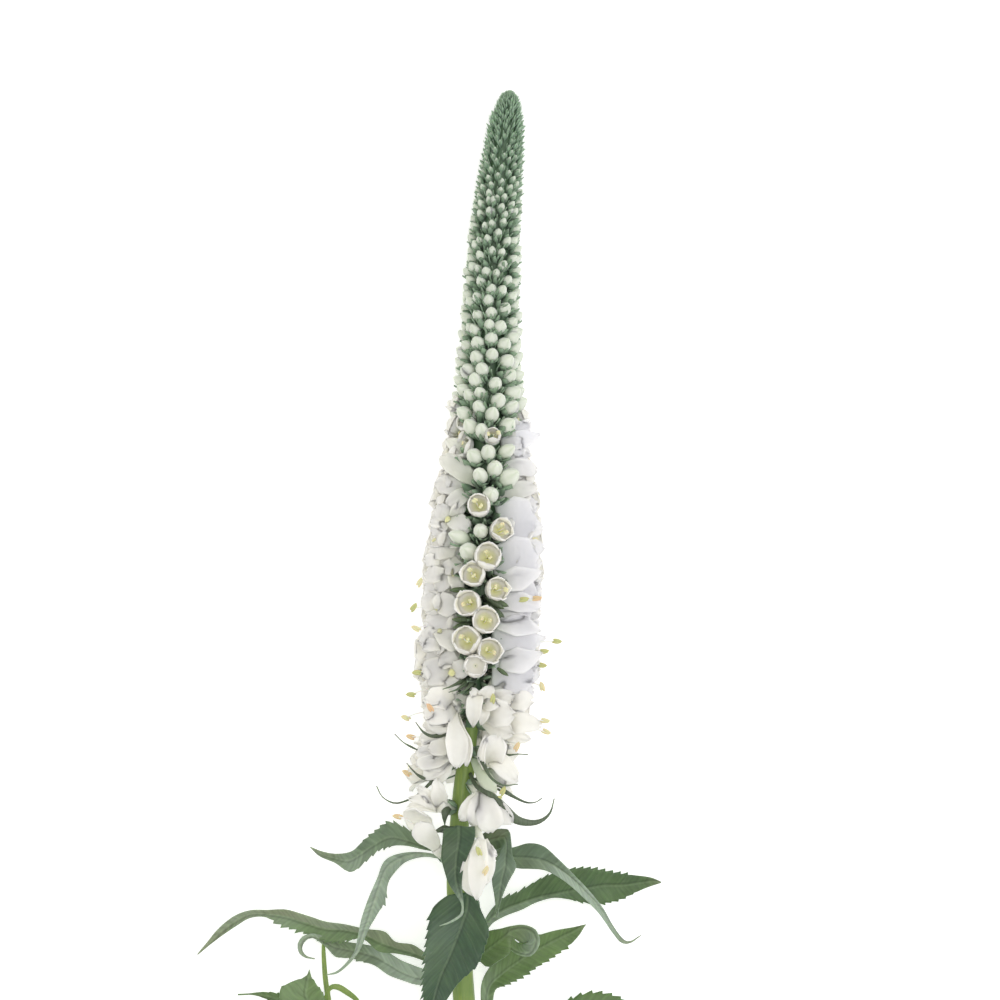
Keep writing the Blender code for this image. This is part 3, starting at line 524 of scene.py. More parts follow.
def corollaShape(name, look):
    # four lobes on a tube; look gives the way of the wall off the axis, in degrees, from base to lip
    rows, columns, steps = 9, 7, 40
    wall, r, z = [], look["throat"], 0.0
    for k in range(steps + 1):
        v = k / steps
        angle = math.radians(blend([(i / 4, a) for i, a in enumerate(look["wall"])], v)[1])
        wall.append((v, r, z, angle))
        r += math.sin(angle) * look["arc"] / steps
        z += math.cos(angle) * look["arc"] / steps
    draw = random.Random(look["seed"])
    store = newStore()
    tube = look["tube"]
    for lobe, reachOfLobe in enumerate(look["lobes"]):
        wave = draw.uniform(-1, 1)
        droop = math.radians(draw.uniform(-1, 1) * look["unevenDegrees"])
        points, heights = [], []
        for k in range(rows):
            v = k / (rows - 1)
            free = ease(tube, tube + 0.2, v)
            _, radius, height, angle = blend(wall, min(v * (1 + (reachOfLobe - 1) * free), 1.0))
            angle += droop * free
            beyond = max((v - tube) / (1 - tube), 0)
            edge = math.sqrt(max(1 - max((beyond - 0.35) / 0.65, 0) ** look["blunt"], 0.015))
            half = radius * math.pi / 4 * (1 + (look["overlap"] - 1) * free) * edge
            bend = radius * (1 + look["flat"] * free)
            thick = look["thick"] * (0.6 + 0.5 * v)
            for c in range(columns):
                u = 2 * c / (columns - 1) - 1
                turned = u * half / bend
                rise = bend * (1 - math.cos(turned)) * math.cos(angle)
                lift = bend * (1 - math.cos(turned)) * math.sin(angle)
                ruffle = look["ruffle"] * free * beyond * math.sin(3.2 * u + 2 * wave + 4 * v)
                x = radius - rise + free * 0.10 * u + ruffle * math.cos(angle)
                h = height + lift - ruffle * math.sin(angle) - look["notchDip"] * free * u * u * edge
                normal = Vector((-math.cos(angle) * math.cos(turned), -math.sin(turned), math.sin(angle)))
                for layer in (0, 1):
                    p = Vector((x, bend * math.sin(turned), h)) + normal * thick * layer
                    points.append(spun(*p, fullTurn * lobe / 4))
                    heights.append(v)
        gather(store, points, skinFaces(rows, columns, tube), inner=[0, 1] * (rows * columns), along=heights)
    _, radius, height, _ = blend(wall, look["floorAt"])  # the throat is filled with pale hairs up to here
    points, heights, closed, spokes = [], [], [], 12
    tones = (0.55, 0.17, 0.0) if look["floorAt"] < 0.8 else (0.6, 0.4, 0.2)
    for share, depth, tone in zip((1.04, 0.6, 0.05), (0.2, -0.65, -1.0), tones):
        for lower in (0.0, 0.25):
            ring = (radius * share, 0, height + depth - lower)
            points += [spun(*ring, fullTurn * i / spokes) for i in range(spokes)]
            heights += [tone] * spokes
    for a in range(4 * spokes):
        b = a - a % spokes + (a + 1) % spokes
        quad = (a, b, 2 * spokes + b, 2 * spokes + a)
        closed.append(quad[::-1] if a // spokes % 2 else quad)
    gather(store, points, closed, inner=1.0, along=heights)
    return weld(meshFrom(name, **store), 0.01)


# from a bud that has just opened to a tired flower, then a wide one and one with a filled throat
corollaKeys = (
    "wall", "arc", "throat", "tube", "overlap", "flat", "floorAt", "blunt", "lobes", "unevenDegrees",
    "ruffle", "notchDip", "thick", "seed",
)
corollaLooks = [dict(zip(corollaKeys, row)) for row in (
    ((56, 30, 6, -14, -32), 7.0, 0.7, 0.25, 1.2, 0.0, 0.66, 3.2, (1, 0.97, 1, 0.96), 2, 0.05, 0.1, 0.27, 0),
    ((58, 32, 10, -6, -16), 7.0, 0.7, 0.25, 1.2, 0.0, 0.66, 3.2, (1, 0.95, 0.98, 1), 5, 0.1, 0.2, 0.27, 1),
    ((54, 32, 13, 2, 0), 7.2, 0.7, 0.25, 1.2, 0.05, 0.64, 2.8, (1, 0.95, 0.92, 0.98), 7, 0.15, 0.3, 0.27, 2),
    ((38, 18, 16, 34, 56), 8.4, 0.7, 0.22, 1.2, 0.4, 0.4, 2.2, (1, 0.92, 0.84, 0.94), 14, 0.36, 0.2, 0.28, 4),
    ((46, 36, 38, 50, 68), 6.4, 0.7, 0.2, 1.4, 0.15, 0.3, 2.8, (1, 0.96, 0.92, 0.97), 9, 0.2, 0.1, 0.3, 6),
    ((58, 32, 8, -10, -24), 7, 0.7, 0.25, 1.25, 0, 0.81, 3.2, (1, 0.94, 1.04, 0.96), 6, 0.1, 0.2, 0.27, 7),
)]
# height, spread and swing of the anthers: inside the cup, at its lip, well out of it
stamenLooks = [(5.6, 0.8, 0.2), (6.2, 1.0, 0.3), (8.8, 1.8, 0.5), (10.4, 2.6, 0.8)]


def stamenShape(name, height, spread, swing):  # two threads with a two-lobed anther each, and the style
    store = newStore()
    for side in (-1, 1):
        top = Vector((0.5 * side * swing, side * spread, height * (1 + 0.04 * side)))
        line = smoothLine([(0, 0.4 * side, 1.4), (0, 0.55 * side, height * 0.5), tuple(top)], 6)
        gather(store, *sweep([(*p, 0.11) for p in line], 4), pollen=0.0)
        tilt = Vector((0.3, 0.5 * side, 1)).normalized()
        for lobe in (-1, 1):
            middle = top + Vector((0.2 * lobe, 0, 0))
            rings = [(*(middle + tilt * t * 0.65), r) for t, r in (
                (-1, 0.08), (-0.75, 0.24), (-0.2, 0.33), (0.4, 0.3), (0.85, 0.2), (1, 0.06))]
            gather(store, *sweep(rings, 6, upHint=(1, 0, 0)), pollen=1.0)
    style = smoothLine([(0.2, 0, 1.4), (0.3, 0, height * 0.6), (0.9 * swing, 0, height * 0.98)], 5)
    gather(store, *sweep([(*p, 0.09) for p in style], 4), pollen=0.0)
    return weld(meshFrom(name, **store), 0.0005)


def makePlantingTree():  # stands one of several shapes on each point, along its own way and at its own size
    tree = bpy.data.node_groups.new("plantOnSpike", "GeometryNodeTree")
    for name, kind in (
        ("Geometry", "Geometry"), ("Shapes", "Collection"), ("Finish", "Material"), ("Turn varies", "Float"),
        ("Size varies", "Float"), ("Seed", "Int"),
    ):
        tree.interface.new_socket(name, in_out="INPUT", socket_type="NodeSocket" + kind)
    tree.interface.new_socket("Geometry", in_out="OUTPUT", socket_type="NodeSocketGeometry")

    def put(kind, links=None, **settings):
        return addNode(tree, kind, links, **settings).outputs

    def read(name, kind="FLOAT_VECTOR"):
        return put("GeometryNodeInputNamedAttribute", {"Name": name}, data_type=kind)[0]

    def uneven(low, high, seed):
        return put("FunctionNodeRandomValue", {2: low, 3: high, "Seed": seed}, data_type="FLOAT")[1]

    given = put("NodeGroupInput")
    turnVaries, sizeVaries, seed = given["Turn varies"], given["Size varies"], given["Seed"]
    stood = put("FunctionNodeAlignRotationToVector", {"Vector": read("way")}, axis="Z")[0]
    faced = put("FunctionNodeAlignRotationToVector", {"Rotation": stood, "Vector": read("down")},
                axis="X", pivot_axis="Z")[0]
    swing = uneven(calculate(tree, "SUBTRACT", 0.0, turnVaries), turnVaries, seed)
    turn = put("FunctionNodeAxisAngleToRotation", {"Axis": (0, 0, 1), "Angle": swing})[0]
    turned = put("FunctionNodeRotateRotation", {"Rotation": faced, "Rotate By": turn},
                 rotation_space="LOCAL")[0]
    low, high = (calculate(tree, operation, 1.0, sizeVaries) for operation in ("SUBTRACT", "ADD"))
    grow = uneven(low, high, calculate(tree, "ADD", seed, 7.0))
    sized = put("ShaderNodeVectorMath", {0: read("size"), "Scale": grow}, operation="SCALE")[0]
    shapes = put("GeometryNodeCollectionInfo", {
        "Collection": given["Shapes"], "Separate Children": True, "Reset Children": True})[0]
    planted = put("GeometryNodeInstanceOnPoints", {
        "Points": given["Geometry"], "Instance": shapes, "Pick Instance": True,
        "Instance Index": read("kind", "INT"), "Rotation": turned, "Scale": sized})[0]
    real = put("GeometryNodeRealizeInstances", {"Geometry": planted})[0]
    done = put("GeometryNodeSetMaterial", {"Geometry": real, "Material": given["Finish"]})[0]
    put("NodeGroupOutput", {"Geometry": done})
    return tree


plantingTree = makePlantingTree()


def plant(name, spots, shapes, finish, turnVaries, sizeVaries, seed):
    # spots: place, way, down, size, kind and the floats that the finish reads
    mesh = bpy.data.meshes.new(name + "Spots")
    mesh.from_pydata([tuple(spot["place"] * mm) for spot in spots], [], [])
    for key in ("way", "down", "size"):
        values = [c for spot in spots for c in spot[key]]
        mesh.attributes.new(key, "FLOAT_VECTOR", "POINT").data.foreach_set("vector", values)
    mesh.attributes.new("kind", "INT", "POINT").data.foreach_set("value", [spot["kind"] for spot in spots])
    for key in ("ripe", "tint"):
        mesh.attributes.new(key, "FLOAT", "POINT").data.foreach_set("value", [spot[key] for spot in spots])
    shelf = bpy.data.collections.new(name + "Shapes")
    bpy.context.scene.collection.children.link(shelf)
    for k, shape in enumerate(shapes):
        shelf.objects.link(bpy.data.objects.new(f"{name}{k:02d}", shape))
    carrier = bpy.data.objects.new(name, mesh)
    bpy.context.scene.collection.objects.link(carrier)
    planting = carrier.modifiers.new("planting", "NODES")
    planting.node_group = plantingTree
    sockets = plantingTree.interface.items_tree
    named = {item.name: item.identifier for item in sockets if item.in_out == "INPUT"}
    for key, value in {"Shapes": shelf, "Finish": finish, "Turn varies": math.radians(turnVaries),
                       "Size varies": sizeVaries, "Seed": seed}.items():
        planting[named[key]] = value
    made = bpy.data.meshes.new_from_object(carrier.evaluated_get(bpy.context.evaluated_depsgraph_get()))
    bpy.data.objects.remove(carrier)
    for used in list(shelf.objects):
        bpy.data.objects.remove(used)
    bpy.data.collections.remove(shelf)
    for vertex in made.vertices:  # what would be under the table is pressed flat on to it
        vertex.co.z = max(vertex.co.z, 0.05 * mm)
    print(name + ":", len(spots), "spots,", sum(len(p.vertices) - 2 for p in made.polygons), "triangles")
    return made


def spiralPlaces():
    found, distance = [], spikeSettings["firstBud"]
    while distance < spikeSettings["length"]:
        found.append((distance, len(found) * goldenAngle))
        distance += blend(spikeSettings["shape"], distance)[stepAt]
    return found


# closed buds that face the viewer: middle x and y, width
facingBuds = [
    (13.8, 97.6, 1.2), (16.9, 95.2, 1.3), (11.8, 97, 1.3), (12.8, 94.6, 1.4), (15.1, 92.8, 1.5),
    (10.9, 91.6, 1.4), (12.9, 92.4, 1.5), (14, 90.3, 1.6), (15.8, 89, 1.6), (11.9, 89.2, 1.6),
    (10, 88.9, 1.5), (12.6, 86.7, 1.7), (14.7, 86.8, 1.7), (10.3, 85.9, 1.7), (17, 85.7, 1.7),
    (15, 84.1, 1.9), (11.4, 82.7, 2), (13.7, 82.3, 1.8), (9.5, 83.4, 1.8), (16.2, 81.2, 2), (10.5, 80.4, 1.9),
    (12.3, 79.2, 2.2), (14.6, 78.9, 2.1), (11.6, 77, 2.2), (9.5, 77.5, 2), (12.7, 74.5, 2.4),
    (15.5, 75.3, 2.5), (9.9, 74, 2.2), (11.9, 72.2, 2.4), (14.5, 71.7, 2.6), (17.4, 71, 2.6), (9, 71, 2.4),
    (12.5, 69.4, 2.6), (15.1, 68.1, 2.9), (9.7, 68.3, 2.8), (12.6, 66.1, 2.7), (9.2, 65.5, 2.7),
    (6.6, 66, 2.6), (16.1, 64.8, 3), (10.9, 63, 2.7), (13.7, 60.4, 2.8), (8.9, 60.8, 2.9), (7.7, 63.2, 2.8),
    (16.7, 61.8, 3), (10.6, 58.3, 2.5), (14, 56.8, 3), (10.4, 55.5, 2.7), (7.9, 57.7, 2.8), (12.5, 53.6, 3),
    (17.2, 58.8, 3.2), (17.1, 55.7, 3), (10.3, 50.3, 2.8), (7.7, 51.2, 3), (6.9, 54.4, 3), (16.6, 51.8, 3.2),
    (15.6, 46.9, 2.9), (12.3, 46.3, 3), (8.8, 45.8, 3.3), (14.1, 43.1, 3.2), (10.6, 41.5, 3),
    (16.7, 41.2, 3.6),
]
# open florets that face the viewer: mouth x and y, kind, width
facing = [
    (13.7, 50.3, 0, 3.1), (9.2, 36.3, 1, 4.7), (13.3, 38.2, closedBud, 3.5), (16.2, 31.4, 2, 4.8),
    (10.5, 31, closedBud, 3.1), (6.3, 29.2, closedBud, 3.1), (7.2, 26.2, closedBud, 3.8), (13.2, 25, 1, 5.3),
    (9, 21.4, 2, 5.2), (14.6, 19.6, 2, 4.8), (8, 16.6, 2, 5.4), (12.2, 12.6, 2, 5.6), (7.9, 8.2, 1, 5.6),
    (13.6, 7.1, 2, 5.2), (9.5, 3.8, filledCup, 4.9),
]


def floretSpot(distance, turn, draw, kind=None, width=None, placed=False):
    shape = blend(spikeSettings["shape"], distance)
    place, along, up, side = lineFrame(distance)
    if not placed:
        turn += math.radians(draw.uniform(-1, 1) * spikeSettings["turnVaries"])
    out = up * math.cos(turn) + side * math.sin(turn)
    lean = math.radians(shape[leanAt] + draw.uniform(-1, 1) * spikeSettings["leanVaries"])
    way = out * math.cos(lean) + along * math.sin(lean)
    way = (way + along.cross(out) * draw.uniform(-0.14, 0.14)).normalized()
    length = shape[lengthAt] * draw.uniform(0.94, 1.05)
    return {
        "root": place + out * shape[coreAt], "way": way, "along": along, "length": length, "shape": shape,
        "width": width or shape[widthAt] * draw.uniform(0.94, 1.06), "distance": distance, "turn": turn,
        "kind": kind, "placed": placed,
    }


def facingSpot(x, y, kind, width, draw):
    share = 0.72 if kind == closedBud else 1.0  # a bud is placed by its middle, an open floret by its mouth
    distance = distanceOfY(y)
    for _ in range(4):  # the mouth stands nearer the tip than the root by the lean
        shape = blend(spikeSettings["shape"], distance)
        lift = shape[lengthAt] * math.sin(math.radians(shape[leanAt])) * share
        distance = distanceOfY(y - lift)
    reach = shape[coreAt] + shape[lengthAt] * math.cos(math.radians(shape[leanAt])) * share
    turn = math.asin(max(min((x - lineFrame(distance)[0].x) / reach, 0.98), -0.98))
    return floretSpot(distance, turn, draw, kind, width, placed=True)


def gatherFlorets():
    florets = []
    openFrom, looseFrom, sidesFrom = (
        spikeSettings[key] for key in ("openFrom", "looseFrom", "sidesOpenFrom"))
    for number, (distance, turn) in enumerate(spiralPlaces()):
        draw = random.Random(spikeSettings["seed"] * 1000 + number)
        front = math.cos(turn)
        if spikeSettings["placedFrom"] < distance <= openFrom and front > 0.62:
            if draw.random() < 0.6 and front > (0.62 if distance < 70 else 0.82):
                florets.append(floretSpot(distance, turn, draw, greenOnly))
            continue
        if distance > openFrom and front > (0.1 if distance > looseFrom else 0.42):
            if distance < looseFrom + 6 and front > 0.7:  # only green parts, between the florets in front
                florets.append(floretSpot(distance, turn, draw, greenOnly))
            continue
        if distance > sidesFrom and front > -0.3:  # small ones, under the broad side petals
            florets.append(floretSpot(distance, turn, draw, smallCup, spikeSettings["hiddenWidth"]))
            florets[-1]["length"] *= 0.92 if front < 0.2 else 0.62
            florets[-1]["hidden"] = True
            continue
        kind = None  # a bud whose size goes by its ripeness
        openness = (distance - sidesFrom) / spikeSettings["opensOver"] - 0.25 * max(front, 0)
        openness += draw.uniform(-0.15, 0.15)
        if distance > sidesFrom - 4:
            opened = wideCup if distance < spikeSettings["tiredFrom"] else tiredCup
            opened = smallCup if openness < 0.22 else opened
            kind = closedBud if openness < 0.04 else opened
        florets.append(floretSpot(distance, turn, draw, kind))
    for number, (x, y, *rest) in enumerate([(*bud[:2], closedBud, bud[2]) for bud in facingBuds] + facing):
        florets.append(facingSpot(x, y, *rest, random.Random(spikeSettings["seed"] * 2000 + number)))
    return florets


def spotAt(place, way, down, size, kind=0, ripe=1.0, tint=0.0):
    return {
        "place": Vector(place), "way": tuple(way), "down": tuple(down), "size": size, "kind": kind,
        "ripe": ripe, "tint": tint,
    }


def spot(floret, start, size, kind=0, tint=0.0):
    place = floret["root"] + floret["way"] * start
    return spotAt(place, floret["way"], -floret["along"], size, kind, floret["shape"][ripeAt], tint)


# dark bracts that show between the florets: root x and y, way in degrees, length, width
shownBracts = [
    (9.4, 26.8, 215, 3.6, 1.5), (9, 24.8, 250, 3.2, 1.4), (11.4, 17.8, -32, 5.4, 2),
    (11.2, 16.6, -42, 5, 1.7), (12.6, 17.2, -22, 4.4, 1.5), (12.4, 16, -40, 4.6, 1.4),
    (9.4, 13, 176, 5.2, 1.6), (9, 12.4, 192, 4.4, 1.4), (7.6, 19.2, 182, 4, 1.3), (10, 9.4, 60, 3, 1.2),
    (13.8, 3.6, -35, 3.2, 1), (11, 22, -70, 3.2, 1.2), (11, 29.4, 250, 3, 1.2), (13, 30.6, -30, 3.2, 1.2),
    (12.6, 22, -20, 4.4, 1.2),
]


def makeSpike():
    buds, cups, calyces, bracts, stamens = [], [], [], [], []
    corollas = [corollaShape(f"corolla{k}", look) for k, look in enumerate(corollaLooks)]
    widths = [max(math.hypot(v.co.x, v.co.y) for v in mesh.vertices) / mm * 2 for mesh in corollas]
    heights = [max(v.co.z for v in mesh.vertices) / mm for mesh in corollas]
    for number, floret in enumerate(gatherFlorets()):
        draw = random.Random(spikeSettings["seed"] * 3000 + number)
        length, width, share = floret["length"], floret["width"], floret["shape"][calyxAt]
        kind = floret["kind"]
        if kind == greenOnly:
            across = min(0.85 * width, 2.8)
            calyces.append(spot(floret, 0.5, (across, across, 1.35 * across * draw.uniform(0.8, 1.2))))
            long = 1.7 * across * draw.uniform(0.8, 1.2)
            bracts.append(spot(floret, 0.0, (1.1 * across, 0.4 * across, long)))
            continue
        isBud = kind in (None, closedBud)
        base = spikeSettings["budStalk" if isBud else "floretStalk"] * length
        tall = length - base
        if isBud:
            ripe = floret["shape"][ripeAt]
            shown = tall * (0.62 + 0.38 * ripe)
            across = width * (1.0 if kind == closedBud else 0.7 + 0.3 * ripe)
            buds.append(spot(floret, base + 0.1 * shown, (across, across, shown * 0.9), tint=1.0))
            calyces.append(spot(floret, base, (width * 0.98, width * 0.98, tall * share)))
        else:
            wide = width * 1.06 / min(widths[kind], 7.0)
            cups.append(spot(floret, base, (wide, wide, tall / heights[kind]), kind))
            across = 1.5 if "hidden" in floret else 2.7
            calyces.append(spot(floret, base, (across, across, tall * share * 1.1)))
            isAged = floret["distance"] > spikeSettings["agedFrom"] and draw.random() < 0.4
            old = draw.random() if isAged else 0.0
            which = (kind == tiredCup) + (draw.random() < 0.3)
            if math.cos(floret["turn"]) < -0.75 and draw.random() < 0.3:
                which = 3 if draw.random() < 0.5 else 2
            showsThem = floret["placed"] or kind not in (smallCup, wideCup)  # most at the sides hide theirs
            if kind != filledCup and (showsThem or draw.random() < 0.2):
                stamens.append(spot(floret, base, (1.0, 1.0, tall / heights[kind]), which, old))
        bractLong = length * (0.8 if isBud else 0.6) * draw.uniform(0.9, 1.1)
        bractWide = max(0.42 * width, 0.35) if isBud else 1.3
        if "hidden" not in floret:
            lower = {**floret, "root": floret["root"] - floret["along"] * width * 0.18}
            bracts.append(spot(lower, 0.0, (width * 1.15 if isBud else 3.2, bractWide, bractLong)))
    shown = []
    for x, y, turn, long, wide in shownBracts:
        place = (x, y, pointAtY(y)[2] + spikeSettings["shownBractLift"])
        shown.append(spotAt(place, flatWay(turn, 0.12), (0, 0, 1), (1.2, 0.9 * wide, long)))
    stamenShapes = [stamenShape(f"stamens{k}", *look) for k, look in enumerate(stamenLooks)]
    for piece, name, spots, shapes, finish, turnVaries, sizeVaries, seed, slot in (
        ("closed_buds", "buds", buds, [budShape()], petalFinish, 45.0, 0.06, 3, "petals"),
        ("open_florets", "florets", cups, corollas, petalFinish, 25.0, 0.05, 5, "petals"),
        ("calyces", "calyces", calyces, [calyxShape()], calyxFinish, 25.0, 0.05, 8, "leaf"),
        ("bracts", "bracts", bracts, [bractShape()], calyxFinish, 12.0, 0.1, 11, "leaf"),
        ("shown_bracts", "shownBracts", shown, [bractShape()], bractFinish, 12.0, 0.1, 12, "leaf"),
        ("stamens", "stamens", stamens, stamenShapes, stamenFinish, 60.0, 0.08, 14, "petals"),
    ):
        mesh = plant(name, spots, shapes, finish, turnVaries, sizeVaries, seed)
        finishPiece(piece, mesh, None, slot, "flower_spike")


makeSpike()


def petalSheet(route, halfWidths, face, cup, draw, look):  # one soft petal: two skins and their rim
    rows, columns, rim = 14, 13, 0.55  # the rim is this much thinner
    line = smoothLine(route, rows)
    cup, face = math.radians(cup), Vector(face).normalized()
    phase, waves = draw.uniform(0, fullTurn), draw.uniform(2.4, 3.6)
    widths = [(i / (len(halfWidths) - 1), w) for i, w in enumerate(halfWidths)]
    vertices, along = [], []
    for k in range(rows + 1):
        t = k / rows
        ahead = Vector(line[min(k + 1, rows)]) - Vector(line[max(k - 1, 0)])
        side = face.cross(ahead).normalized()
        up = ahead.cross(side).normalized()
        half = blend(widths, t)[1] * math.sqrt(max(1 - max((t - 0.86) / 0.14, 0) ** 2 * 0.9, 0))
        bend = half / cup
        for c in range(columns):
            u = 2 * c / (columns - 1) - 1
            ruffle = look["ruffle"] * t * u * u * math.sin(waves * fullTurn / 3 * t + phase + 1.4 * u)
            ruffle += look["crease"] * t * math.sin(4.6 * u + phase) * (1 - u * u)
            crumple = look["crumple"] * t * math.sin(9 * u + 2.5 * math.sin(6 * t + phase))
            rise = bend * (1 - math.cos(u * cup)) + ruffle + crumple * math.cos(5 * t + 2 * u)
            p = Vector(line[k]) + side * bend * math.sin(u * cup) + up * rise
            lip = look["lipWave"] * t * t * math.sin(5.2 * u + 2 * phase)
            p += ahead.normalized() * (lip - 0.25 * half * u * u * t)
            edge = rim if c in (0, columns - 1) or k == rows else 1.0
            for layer in (0, 1):
                vertices.append(p + up * look["thick"] * edge * (layer - 0.5))
                along.append(0.35 + 0.65 * t)
    return vertices, skinFaces(rows + 1, columns), [0.0, 0.6] * (len(along) // 2), along


